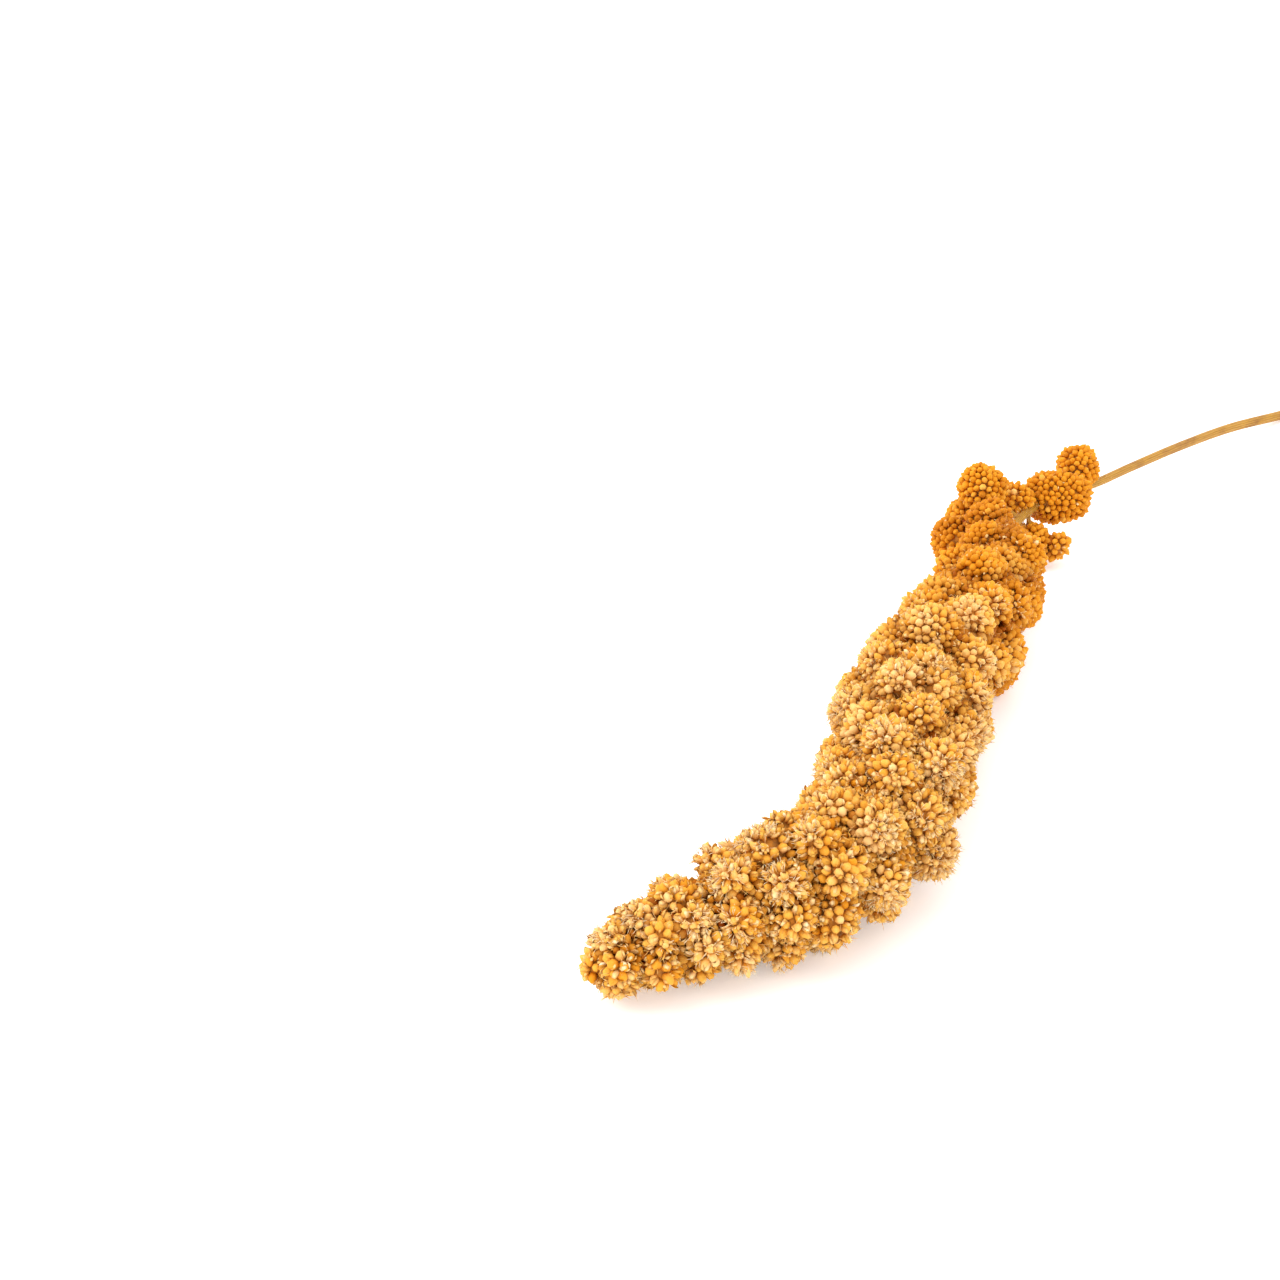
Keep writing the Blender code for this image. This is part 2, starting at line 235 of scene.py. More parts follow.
# Tones run from 0, dark, to 1, pale: (mean, spread). Some seeds are paler or darker than their neighbours.
SEED_TONE, LOBE_TONE_SPREAD, PALEST_SEED = (0.34, 0.06), 0.06, 0.95
PALE_SEEDS, PALE_BY = 0.04, 0.28
DARK_SEEDS, DARK_BY = 0.07, 0.18
PATCH_LIFT, PATCH_WAVE = 0.07, 0.016
CLUSTER_LIFT = -0.09
FLORET_TONE = (0.76, 0.14)
SCALE_TONE = (0.32, 0.25)
ROSETTE_BRISTLE_TONE, BRISTLE_TONE, HAIR_TONE, BRISTLE_TONE_SPREAD = 0.95, 0.35, 0.70, 0.15

# Ranges of random factors
SEED_WIDTHS, SEED_FLATNESS, SEED_LENGTHS = (0.82, 1.13), (0.90, 1.02), (0.92, 1.08)
ROSETTE_REACHES = (0.6, 1.2)
FLORET_WIDTHS, FLORET_LENGTHS, FLORET_BESIDE = (0.8, 1.2), (0.8, 1.15), (0.4, 0.9)
SCALE_SIZES, SCALE_LEANS = (0.75, 1.2), (-0.20, 0.12)
BRISTLE_LENGTHS, BRISTLE_BOWS, BRISTLE_LEANS = (0.7, 1.3), (0.3, 2.0), (0.2, 2.0)
HUSK_SHIFT = (0, 90)

# Rosettes: how far a heart strays from its lobe's top, as a share of the reach, how ragged the edge is, how
# wide the seeds there are, and how many times the usual bristles they have
HEART_STRAY = 0.35
RAGGED, RAGGED_WAVE = 0.3, 0.003
ROSETTE_SLIM = 0.74
ROSETTE_BRISTLES, LEAST_BRISTLES = 8.0, 0.8

# Florets: thickness as a share of the width, height above the seeds' middles, and lean away from the heart
FLORET_THICK, FLORET_ABOVE, FLORET_TILT = 0.8, 0.00008, 0.2
FLORET_LEAN, FLORET_LEAN_MORE, FLORET_LEAN_REACH = 0.15, 0.6, 1.2

# Scales and bristles: where they root beside a seed, as shares of the pitch, and how much they lean at random
SCALE_ASIDE, SCALE_BELOW, SCALE_TILT, SCALE_TURN = 0.46, 0.34, 0.12, 0.3
BRISTLE_ASIDE, BRISTLE_ABOVE, BRISTLE_TILT = 0.5, 0.45, 0.15

# The ground lies this much deeper than the seeds' middles
GROUND_BELOW = 0.0004

# Profiles of a seed and a floret, one unit wide and one long, as (radius, height) from the lowest point to
# the highest. The ball's profile has this many points.
SEED_PROFILE, SEED_SIDES = ((0, -0.48), (0.42, -0.24), (0.49, 0.08), (0.28, 0.38), (0, 0.52)), 7
FLORET_PROFILE, FLORET_SIDES = ((0, -0.5), (0.44, -0.15), (0.42, 0.28), (0, 0.48)), 5
BALL_POINTS, BALL_SIDES = 8, 12

# A scale one unit long: where its rings stand and half their width, its curl, its cup as a share of the half
# width, half its thickness, and its tip
SCALE_RINGS, SCALE_HALVES = (0.30, 0.78), (0.44, 0.40)
SCALE_CURL, SCALE_CUP, SCALE_HALF_THICK, SCALE_TIP = 0.30, 0.50, 0.04, (0, 0.34, 1.0)

# A bristle one unit long: where its rings stand, how much it tapers, and how far it bows
BRISTLE_RINGS, BRISTLE_SIDES, BRISTLE_TAPER, BRISTLE_BOW = (0.0, 0.6), 3, 0.6, 0.16

# A way that rises more than this is nearly upright, and slow noise is made of so many waves
UPRIGHT = 0.9
WAVES = 8

# The stem's tube takes every second point of the middle line, and the branchlets run straight. Streaks are
# this fine along the stem and round it. Hairs stand between two distances from the tip, and lean to it.
STEM_SIDES, STEM_SKIP = 52, 2
BRANCHLET_SIDES, BRANCHLET_RINGS = 14, 24
BRANCHLET_RIDGES, BRANCHLET_RIDGE_HEIGHT = 5, 0.00010
STREAK_ALONG, STREAK_ROUND = 40, 2.4
HAIRS_FROM, HAIRS_TO = 0.176, 0.262
HAIR_HALF, HAIR_LENGTH, HAIR_DEPTH, HAIR_LEAN = 0.00003, 0.0016, 0.9, 0.5

# Each copy of a shape gets a square of the OFBake chart, with a margin as a share of the square
CHART_MARGIN = 0.04

# Numbers that start the random draws
HEAD_PLACE_DRAW, HEAD_TONE_DRAW, HEAD_PATCH_DRAW, ROSETTE_DRAW = 3, 5, 6, 11
HEAD_SEED_DRAW, HEAD_CHAFF_DRAW, FLORET_DRAW = 20, 40, 51
HAIR_PLACE_DRAW, HAIR_DRAW = 71, 72
CLUSTER_DRAW, CLUSTER_DRAW_STEP = 100, 10

# The stage
CAMERA_PLACE = (-0.33974, -0.13515, 0.17155)
CAMERA_PITCH, CAMERA_TURN = math.radians(27), math.radians(-52.5)
CAMERA_LENS, CAMERA_SENSOR, CAMERA_NEAR = 45, 36, 0.01
FLOOR_SIDE = 30.0
KEY_FROM = (-0.35, 0.45, 0.80)


class SeedSettings(bpy.types.PropertyGroup):
    """Sizes of the seeds and how they stand on a lobe."""

    pitch: FloatProperty(
        name="Pitch at the tip",
        description="Distance between seeds at the tip",
        default=0.00150,
        unit="LENGTH",
    )
    foot_pitch: FloatProperty(
        name="Pitch at the foot",
        description="Distance between seeds at the foot",
        default=0.00142,
        unit="LENGTH",
    )
    plump: FloatProperty(
        name="Plumpness",
        description="Width of a seed, as a share of the pitch",
        default=1.16,
    )
    stretch: FloatProperty(
        name="Stretch",
        description="Length of a seed, as a share of its width",
        default=1.34,
    )
    sink: FloatProperty(
        name="Sink",
        description="Depth of a seed's middle below its lobe's surface",
        default=0.00100,
        unit="LENGTH",
    )
    rough: FloatProperty(
        name="Roughness",
        description="How uneven a seed's husk is",
        default=0.085,
    )
    tilt: FloatProperty(
        name="Tilt",
        description="How far a seed may lean over",
        default=0.34,
        subtype="ANGLE",
    )


class ChaffSettings(bpy.types.PropertyGroup):
    """Sizes and numbers of the papery scales, the florets and the bristles."""

    scale_length: FloatProperty(
        name="Scale length",
        description="Length of a scale",
        default=0.00175,
        unit="LENGTH",
    )
    scale_width: FloatProperty(
        name="Scale width",
        description="Width of a scale",
        default=0.0012,
        unit="LENGTH",
    )
    scale_share: FloatProperty(
        name="Scales",
        description="Scales beside each seed, on average",
        default=1.5,
    )
    rosette_share: FloatProperty(
        name="Rosettes",
        description="Share of the lobes with a rosette on top",
        default=0.75,
    )
    rosette_reach: FloatProperty(
        name="Rosette reach",
        description="Half the width of a rosette of florets",
        default=0.0028,
        unit="LENGTH",
    )
    rosette_florets: IntProperty(
        name="Florets",
        description="Empty husks round each seed of a rosette",
        default=5,
    )
    floret_width: FloatProperty(
        name="Floret width",
        description="Width of a floret",
        default=0.00072,
        unit="LENGTH",
    )
    floret_length: FloatProperty(
        name="Floret length",
        description="Length of a floret",
        default=0.0021,
        unit="LENGTH",
    )
    bristle_length: FloatProperty(
        name="Bristle length",
        description="Length of a bristle",
        default=0.0013,
        unit="LENGTH",
    )
    bristle_half: FloatProperty(
        name="Bristle half thickness",
        description="Half a bristle's thickness",
        default=0.00008,
        unit="LENGTH",
    )
    bristle_share: FloatProperty(
        name="Bristles",
        description="Bristles beside each seed, on average",
        default=0.9,
    )


class StrawSettings(bpy.types.PropertyGroup):
    """The stem's ridges and hairs."""

    ridges: IntProperty(
        name="Ridges",
        description="Number of ridges round the stem",
        default=13,
    )
    ridge_height: FloatProperty(
        name="Ridge height",
        description="Height of a ridge, from furrow to crest",
        default=0.00012,
        unit="LENGTH",
        precision=6,
    )
    hairs: IntProperty(
        name="Hairs",
        description="Number of hairs on the stem near the head",
        default=900,
    )


def colour_property(name, description, default):
    """A colour that a user can change."""
    return FloatVectorProperty(name=name, description=description, subtype="COLOR", size=3, default=default)


class ColourSettings(bpy.types.PropertyGroup):
    """Colours of the seeds, scales and straw."""

    seed_dark: colour_property("Dark seed", "The darkest seeds", (0.50, 0.155, 0.007))
    seed_gold: colour_property("Golden seed", "Most seeds", (0.73, 0.290, 0.012))
    seed_light: colour_property("Light seed", "Lighter seeds", (0.80, 0.425, 0.068))
    seed_pale: colour_property("Pale seed", "The palest seeds", (0.86, 0.560, 0.22))
    # The ground colour is partly painted shade: dark as the shade deep between the seeds
    ground: colour_property("Ground", "What shows deep between the seeds", (0.40, 0.145, 0.010))
    scale: colour_property("Scale", "Papery scales", (0.94, 0.70, 0.36))
    bristle: colour_property("Bristle", "The palest bristles", (0.96, 0.80, 0.52))
    straw_light: colour_property("Light straw", "The stem's ridges", (0.54, 0.275, 0.020))
    straw_dark: colour_property("Dark straw", "The stem's furrows and stains", (0.37, 0.165, 0.008))


class StageSettings(bpy.types.PropertyGroup):
    """Floor and light."""

    floor: colour_property("Floor", "Colour of the floor", (0.93, 0.93, 0.93))
    floor_glow: FloatProperty(
        name="Floor glow",
        description="Light given off by the floor",
        default=0.25,
    )
    key_strength: FloatProperty(
        name="Main light",
        description="Strength of the main light",
        default=1.2,
    )
    key_softness: FloatProperty(
        name="Softness",
        description="How wide the main light is, as seen from the floor",
        default=0.75,
        subtype="ANGLE",
    )
    sky_strength: FloatProperty(
        name="Sky light",
        description="Strength of the light all round",
        default=1.46,
    )


# The middle line and the lobes


def table_at(table, distances):
    """The values of a table of (distance, value) pairs at these distances, by straight lines between them."""
    return np.interp(distances, *zip(*table))


def read(table, distance):
    """The value of a table at one distance."""
    return float(table_at(table, distance))


def smooth_line(points, step):
    """Points about this step apart on a smooth curve through the given points, and their distances along it.

    Each span is a cubic that meets its two knots with the slope of the line from the knot before to the one
    after.
    """
    knots = np.array(points)
    spans = np.linalg.norm(np.diff(knots, axis=0), axis=1)
    reach = np.concatenate([[0.0], np.cumsum(spans)])
    slopes = np.empty_like(knots)
    slopes[1:-1] = (knots[2:] - knots[:-2]) / (reach[2:] - reach[:-2])[:, None]
    slopes[0] = (knots[1] - knots[0]) / spans[0]
    slopes[-1] = (knots[-1] - knots[-2]) / spans[-1]
    runs = []
    for i, span in enumerate(spans):
        t = np.linspace(0, 1, max(round(span / step), 2), endpoint=False)[:, None]
        runs.append(
            (2 * t**3 - 3 * t**2 + 1) * knots[i]
            + (t**3 - 2 * t**2 + t) * span * slopes[i]
            + (3 * t**2 - 2 * t**3) * knots[i + 1]
            + (t**3 - t**2) * span * slopes[i + 1]
        )
    line = np.concatenate([*runs, knots[-1:]])
    gaps = np.linalg.norm(np.diff(line, axis=0), axis=1)
    return np.concatenate([[0.0], np.cumsum(gaps)]), line


DISTANCES, LINE = smooth_line(MIDDLE_LINE, LINE_STEP)


def line_points(distances):
    """The points of the middle line at these distances from the tip."""
    return np.stack([np.interp(distances, DISTANCES, LINE[:, axis]) for axis in range(3)], axis=-1)


def on_line(distance):
    """The point of the middle line at one distance, as a vector."""
    return Vector(line_points(distance))


def along_line(distance):
    """The direction of the middle line there, away from the tip."""
    return (on_line(distance + LINE_STEP) - on_line(distance - LINE_STEP)).normalized()


def nearest_on_line(points):
    """The number of the middle line's point nearest to each point, of those that a coarse search looks at."""
    gaps = np.linalg.norm(points[:, None] - LINE[None, ::SEARCH_SKIP], axis=-1)
    return gaps.argmin(axis=1) * SEARCH_SKIP


def underside(lobe):
    """How far a lobe reaches below its middle."""
    up = Vector(lobe.lean).normalized().z
    return math.hypot(lobe.half_long * up, lobe.half_broad * math.sqrt(1 - up * up))


def lobe_layout():
    """Lobes round the rachis in rings, and one at the tip itself.

    Each ring's lobes stand between those of the ring before, and lean out and towards the tip.
    """
    draw = random.Random(LAYOUT_SEED)
    size = read(LOBE_HALF, 0.0)
    lobes = [Lobe(on_line(TIP_LOBE), -along_line(TIP_LOBE), size * LOBE_LONG, size * LOBE_BROAD)]
    distance, turn = FIRST_RING, draw.uniform(0, 2 * math.pi)
    while distance < LAST_RING:
        size, girth = read(LOBE_HALF, distance), read(GIRTH, distance)
        count = max(round(2 * math.pi * (girth - RING_DEPTH * size) / (RING_SPREAD * size)), 3)
        for number in range(count):
            half = size * draw.uniform(*SIZE_RANGE)
            reach = girth - half * LOBE_RISE + size * draw.uniform(*REACH_RANGE)
            place = distance + size * draw.uniform(*PLACE_RANGE)
            angle = turn + 2 * math.pi * (number + draw.uniform(*TURN_RANGE)) / count
            ahead = along_line(place)
            side = ahead.cross(Vector((0, 0, 1))).normalized()
            out = side * math.cos(angle) + side.cross(ahead) * math.sin(angle)
            lobe = Lobe(
                centre=on_line(place) + out * reach,
                lean=out - ahead * LOBE_LEAN,
                half_long=half * LOBE_LONG,
                half_broad=half * LOBE_BROAD,
            )
            resting = underside(lobe) - PRESS
            if lobe.centre.z < resting + SETTLE:
                lobe.centre.z = resting
            lobes.append(lobe)
        distance += RING_STEP * size
        turn += math.pi / count
    return lobes


def core_balls():
    """The core that the lobes stand out of, as balls along the middle line."""
    balls = []
    for distance in np.arange(CORE_START, CORE_END, CORE_STEP):
        half = CORE_SHARE * read(GIRTH, distance)
        balls.append(Lobe(on_line(distance), (0, 0, 1), half, half))
    return balls


def unit(ways):
    """The ways at length one."""
    return ways / np.linalg.norm(ways, axis=-1, keepdims=True)


def beside(ways):
    """A unit direction at right angles to each way: level, or across +X where the way is nearly upright."""
    upright = np.abs(ways[:, 2:]) > UPRIGHT
    return unit(np.cross(ways, np.where(upright, (1.0, 0.0, 0.0), (0.0, 0.0, 1.0))))


def flat_on(ways, out):
    """The ways turned to lie at right angles to the ways out."""
    return unit(ways - (ways * out).sum(axis=1, keepdims=True) * out)


def slow_noise(points, wave, seed):
    """A smooth uneven value near -1 to 1: the mean of sines along a few random directions, times two."""
    rng = np.random.default_rng(seed)
    ways = unit(rng.normal(size=(WAVES, 3))) * (2 * math.pi / wave)
    return 2.0 * np.sin(points @ ways.T + rng.uniform(0, 2 * math.pi, WAVES)).mean(axis=1)


class Mass:
    """Lobes as arrays, with the smooth surface that wraps them, drawn in by a sink."""

    def __init__(self, lobes, sink):
        self.centre = np.array([tuple(lobe.centre) for lobe in lobes])
        self.lean = unit(np.array([tuple(lobe.lean) for lobe in lobes], float))
        self.long = np.array([lobe.half_long for lobe in lobes]) - sink
        self.broad = np.array([lobe.half_broad for lobe in lobes]) - sink

    def outside(self, points):
        """How far each point stands outside each lobe, and the way straight out of it.

        With q the point's place in the lobe divided by the half axes, and g by their squares, the distance is
        near |q| (|q| - 1) / |g|, and the way out is g.
        """
        away = points[:, None] - self.centre
        along = np.einsum("pnk,nk->pn", away, self.lean)
        across = away - along[..., None] * self.lean
        radius = np.linalg.norm(across, axis=-1)
        level = np.hypot(radius / self.broad, along / self.long)
        way = across / self.broad[:, None] ** 2 + (along / self.long**2)[..., None] * self.lean
        steep = np.linalg.norm(way, axis=-1)
        return level * (level - 1) / steep, way / steep[..., None]

    def wrap(self, points):
        """Distance outside the smooth wrap, the way out, and how open the place is.

        Openness is 1 on a lobe and less in a crease between two. The wrap is the soft minimum of the lobes'
        distances d, -blend * log(sum of exp(-d / blend)).
        """
        depth, way = self.outside(points)
        nearest = depth.min(axis=1, keepdims=True)
        weight = np.exp((nearest - depth) / BLEND)
        total = weight.sum(axis=1, keepdims=True)
        outward = np.einsum("pn,pnk->pk", weight / total, way)
        steep = np.linalg.norm(outward, axis=1, keepdims=True)
        return (nearest - BLEND * np.log(total)) / steep, outward / steep, steep[:, 0]

    def settled(self, points):
        """The points moved straight onto the wrap, in one step."""
        gap, out, _ = self.wrap(points)
        return points - gap * out


# Where the seeds stand


class Places(NamedTuple):
    """Where seeds stand: middle, way out, number of the lobe, pitch, distance from the tip, and openness."""

    middle: np.ndarray
    out: np.ndarray
    lobe: np.ndarray
    pitch: np.ndarray
    along: np.ndarray
    # Openness times the painted crease shade, which darkens the seeds' colour
    open: np.ndarray

    def only(self, wanted):
        """Those of the places that are wanted."""
        return Places(*(values[wanted] for values in self))


def spread_on_sphere(count, phase):
    """Points spread evenly over a unit sphere, along one spiral from pole to pole.

    Their heights go down by even steps, and each is turned on from the last by the golden angle.
    """
    numbers = np.arange(count)
    turns = numbers * GOLDEN_ANGLE + phase
    height = 1 - (2 * numbers + 1) / count
    width = np.sqrt(1 - height**2)
    return np.stack([width * np.cos(turns), width * np.sin(turns), height], axis=1)


def lobe_points(mass, number, pitch, rng):
    """Points about a pitch apart on one lobe.

    Their number is the lobe's surface, near 2 pi b (b + l) for half axes b and l, over the cell of one.
    """
    broad, long = mass.broad[number], mass.long[number]
    count = round(4 * math.pi * broad * (broad + long) / 2 / (pitch**2 * TRIANGLE_CELL))
    jitter = rng.normal(size=(count, 3)) * START_JITTER * pitch / broad
    ball = unit(spread_on_sphere(count, rng.uniform(0, 2 * math.pi)) + jitter)
    axis = mass.lean[number : number + 1]
    side = beside(axis)
    axes = np.concatenate([side * broad, np.cross(axis, side) * broad, axis * long])
    return mass.centre[number] + ball @ axes


def places_on_lobes(mass, settings, rng):
    """Points about a pitch apart on the parts of the lobes that no other lobe covers, moved onto the wrap."""
    found = []
    for number, centre in enumerate(mass.centre):
        share = read(FOOT_PITCH_SHARE, DISTANCES[nearest_on_line(centre[None])][0])
        pitch = settings.pitch + (settings.foot_pitch - settings.pitch) * share
        points = lobe_points(mass, number, pitch, rng)
        depth, _ = mass.outside(points)
        points = points[depth[:, number] <= depth.min(axis=1) + OWN_MARGIN]
        found.append((points, np.full(len(points), pitch)))
    points, pitch = (np.concatenate(values) for values in zip(*found))
    return mass.settled(mass.settled(points)), pitch


def sorted_along(points, pitch):
    """The points and their pitches in order along X."""
    order = np.argsort(points[:, 0])
    return points[order], pitch[order]


def close_pairs(points, reach):
    """Numbers of the two points of each pair that stands nearer than reach.

    The points are in order along X, so each is compared with the ones after it until all are too far along.
    """
    firsts, seconds = [], []
    for ahead in range(1, len(points)):
        gap = points[ahead:] - points[:-ahead]
        if gap[:, 0].min() > reach:
            break
        near = np.flatnonzero((gap**2).sum(axis=1) < reach**2)
        firsts.append(near)
        seconds.append(near + ahead)
    return np.concatenate(firsts), np.concatenate(seconds)


def thinned(points, pitch, least):
    """The points that stay so that few pairs stand nearer than least, a share of the pitch."""
    points, pitch = sorted_along(points, pitch)
    first, second = close_pairs(points, least * pitch.max())
    gap = np.linalg.norm(points[second] - points[first], axis=1)
    stay = np.ones(len(points), bool)
    stay[second[gap < least * pitch[second]]] = False
    return points[stay], pitch[stay]


def filled(points, pitch, more, more_pitch, least):
    """The points, with those of the others added that stand further than least from every point."""
    joined = np.concatenate([points, more])
    joined_pitch = np.concatenate([pitch, more_pitch])
    order = np.argsort(joined[:, 0])
    fresh = order >= len(points)
    joined, joined_pitch = joined[order], joined_pitch[order]
    first, second = close_pairs(joined, least * joined_pitch.max())
    gap = np.linalg.norm(joined[second] - joined[first], axis=1)
    near = (gap < least * joined_pitch[second]) & (fresh[first] | fresh[second])
    stay = np.ones(len(joined), bool)
    stay[np.where(fresh[second], second, first)[near]] = False
    return joined[stay], joined_pitch[stay]


def evened(points, pitch, mass):
    """Points pushed apart to lie about a pitch from their neighbours, and held on the wrap.

    In each round, a pair nearer than the reach, a share of the pitch, moves apart by a share of what it
    lacks.
    """
    for _ in range(EVEN_ROUNDS):
        points, pitch = sorted_along(points, pitch)
        first, second = close_pairs(points, EVEN_REACH * pitch.max())
        gap = points[second] - points[first]
        far = np.linalg.norm(gap, axis=1)
        lack = np.maximum(EVEN_REACH * pitch[first] - far, 0) * EVEN_PUSH
        push = gap * (lack / far)[:, None]
        np.add.at(points, second, push)
        np.add.at(points, first, -push)
        points = mass.settled(points)
    return points, pitch


def crease_shade(depth, lobe, along, broad):
    """Painted shade in each seed's colour, for how much light reaches it from its sides: less than 1 where a
    second lobe is near.

    It rises evenly, from the shade for the seed's place along the head to 1, as the second lobe stands
    further off than the first by up to the reach.
    """
    lone = np.full((len(depth), 1), FAR_OFF)
    nearest, next_nearest = np.partition(np.hstack([depth, lone]), 1, axis=1)[:, :2].T
    flank = np.clip((next_nearest - nearest) / (CREASE_REACH * broad[lobe]), 0, 1)
    shade = table_at(CREASE_SHADE, along)
    return shade + (1 - shade) * flank


def seed_places(lobes, settings, seed):
    """Seeds on the smooth wrap of the lobes, as even as seeds on a cob and then a little roughened."""
    rng = np.random.default_rng(seed)
    mass = Mass(lobes, settings.sink)
    points, pitch = thinned(*places_on_lobes(mass, settings, rng), LEAST_START)
    points, pitch = thinned(*evened(points, pitch, mass), LEAST_SPACING)
    for _ in range(FILL_ROUNDS):
        points, pitch = filled(points, pitch, *places_on_lobes(mass, settings, rng), LEAST_FILL)
    points = mass.settled(points)
    _, out, openness = mass.wrap(points)
    uneven = slow_noise(points, UNEVEN_WAVE, seed) + rng.normal(size=len(points)) * UNEVEN_OWN
    points = points + out * uneven[:, None] * UNEVEN_HEIGHT
    points[:, 2] = np.maximum(points[:, 2], pitch * LEAST_HEIGHT)
    depth, _ = mass.outside(points)
    lobe, along = depth.argmin(axis=1), DISTANCES[nearest_on_line(points)]
    shade = crease_shade(depth, lobe, along, mass.broad)
    # The last value is openness times crease shade: painted shade for the seeds' colour
    places = Places(points, out, lobe, pitch, along, openness * shade)
    return places.only(openness > CREASE)


def rosettes(places, lobes, bearing, settings, seed):
    """For each seed, the heart of its lobe, how near to it the seed stands, and True if it is in a rosette.

    The heart is near the lobe's top. The nearness is 1 there and 0 a lobe's half length away. Of the lobes
    that can bear a rosette, the first in the list, only a share does, and none beyond the last rosette's
    distance.
    """
    rng = np.random.default_rng(seed)
    lean = unit(np.array([tuple(lobe.lean) for lobe in lobes], float))
    long = np.array([lobe.half_long for lobe in lobes])[:, None]
    tops = np.array([tuple(lobe.centre) for lobe in lobes]) + lean * long
    tops = tops + rng.normal(size=tops.shape) * settings.rosette_reach * HEART_STRAY
    chosen = (rng.uniform(size=len(lobes)) < settings.rosette_share) & (np.arange(len(lobes)) < bearing)
    reach = settings.rosette_reach * rng.uniform(*ROSETTE_REACHES, len(lobes)) * chosen
    heart = tops[places.lobe]
    ragged = 1 + RAGGED * slow_noise(places.middle, RAGGED_WAVE, seed)
    far = np.linalg.norm(places.middle - heart, axis=1)
    crown = np.clip(1 - far / long[places.lobe, 0], 0, 1) * (places.lobe < bearing)
    return heart, crown, (far < reach[places.lobe] * ragged) & (places.along < LAST_ROSETTE)


def seed_tones(places, rng, lift_and_painted_light):
    """Tone of each seed: its lobe's, its own, and now and then a pale or a dark one."""
    mean, spread = SEED_TONE
    lobes = rng.normal(0, LOBE_TONE_SPREAD, places.lobe.max() + 1)
    tone = mean + lift_and_painted_light + lobes[places.lobe] + rng.normal(0, spread, len(places.lobe))
    odd = rng.uniform(size=len(tone))
    tone = tone + PALE_BY * (odd > 1 - PALE_SEEDS) - DARK_BY * (odd < DARK_SEEDS)
    return np.clip(tone, 0.0, PALEST_SEED)


# Small shapes, and how they are set at many places


class Shape(NamedTuple):
    """A small closed shape: its points, all faces' corners one after another, and each face's corner count.

    The chart is a place on a unit square for each corner, and the rise of a point is 0 at the foot and 1 at
    the tip.
    """

    points: np.ndarray
    corners: np.ndarray
    counts: np.ndarray
    chart: np.ndarray
    rise: np.ndarray


def closed_tube(rings, first, last):
    """A closed shape from rings of points, with one point that closes each end.

    Corner k of ring r is joined to corner k + 1 and to the ring above. The chart is k over the sides, and the
    ring over the count of rings.
    """
    count, sides = rings.shape[:2]
    points = np.concatenate([[first], rings.reshape(-1, 3), [last]])
    k = np.arange(sides)
    after = (k + 1) % sides
    low = np.stack([0 * k, 1 + after, 1 + k], axis=1)
    base = 1 + np.arange(count - 1)[:, None] * sides
    bands = np.stack([base + k, base + after, base + sides + after, base + sides + k], axis=-1)
    last_ring = 1 + (count - 1) * sides
    high = np.stack([last_ring + k, last_ring + after, 0 * k + len(points) - 1], axis=1)
    corners = np.concatenate([low.ravel(), bands.ravel(), high.ravel()])
    counts = np.concatenate([np.full(sides, 3), np.full((count - 1) * sides, 4), np.full(sides, 3)])

    u, v = k / sides, np.arange(1, count + 1) / (count + 1)
    step = 1 / sides
    bottom, top = np.full(sides, v[0]), np.full(sides, v[-1])
    low_chart = np.stack([[u + step / 2, u + step, u], [0 * u, bottom, bottom]], axis=-1)
    high_chart = np.stack([[u, u + step, u + step / 2], [top, top, 0 * u + 1]], axis=-1)
    across = np.broadcast_to(u, (count - 1, sides))
    under = np.broadcast_to(v[:-1, None], across.shape)
    over = np.broadcast_to(v[1:, None], across.shape)
    band_chart = np.stack(
        [[across, across + step, across + step, across], [under, under, over, over]], axis=-1
    )
    chart = np.concatenate(
        [
            low_chart.transpose(1, 0, 2).reshape(-1, 2),
            band_chart.transpose(1, 2, 0, 3).reshape(-1, 2),
            high_chart.transpose(1, 0, 2).reshape(-1, 2),
        ]
    )
    return Shape(points, corners, counts, chart, np.concatenate([[0.0], np.repeat(v, sides), [1.0]]))


def level_rings(radius, height, sides):
    """Rings of points round the Z axis, one for each radius and height."""
    angle = np.arange(sides) * 2 * math.pi / sides
    return np.stack(
        [
            radius[:, None] * np.cos(angle),
            radius[:, None] * np.sin(angle),
            np.broadcast_to(height[:, None], (len(radius), sides)),
        ],
        axis=-1,
    )


def turned(profile, sides):
    """A shape turned about its own Z: a (radius, height) profile from its lowest point to its highest."""
    radius, height = np.array(profile[1:-1]).T
    return closed_tube(level_rings(radius, height, sides), (0, 0, profile[0][1]), (0, 0, profile[-1][1]))


def seed_shape():
    """A plump seed, one unit wide and one long, with a slight point and its widest ring above the middle."""
    return turned(SEED_PROFILE, SEED_SIDES)


def floret_shape():
    """A slim husk with no seed in it, one unit wide and one long."""
    return turned(FLORET_PROFILE, FLORET_SIDES)


def scale_shape():
    """A papery scale, one unit wide and one long, from its root at zero: a boat that curls over towards +Y.

    It curls by the square of the place along it. Each of its rings has an edge, an outer middle, an edge and
    an inner middle, and the middle stands behind the edges by the cup.
    """
    way, half = np.array(SCALE_RINGS), np.array(SCALE_HALVES)
    curl = SCALE_CURL * way**2
    behind = curl - SCALE_CUP * half
    left = np.stack([-half, curl, way], axis=1)
    right = np.stack([half, curl, way], axis=1)
    outer = np.stack([0 * half, behind - SCALE_HALF_THICK, way], axis=1)
    inner = np.stack([0 * half, behind + SCALE_HALF_THICK, way], axis=1)
    return closed_tube(np.stack([left, outer, right, inner], axis=1), (0, 0, 0), SCALE_TIP)


def bristle_shape():
    """A straight bristle, one unit long and one thick at its root, and how far each of its points bows aside.

    The bow is a share of the square of the point's place along it.
    """
    way = np.array(BRISTLE_RINGS)
    rings = level_rings(0.5 * (1 - BRISTLE_TAPER * way), way, BRISTLE_SIDES)
    shape = closed_tube(rings, (0, 0, 0), (0, 0, 1.0))
    return shape, BRISTLE_BOW * shape.points[:, 2] ** 2


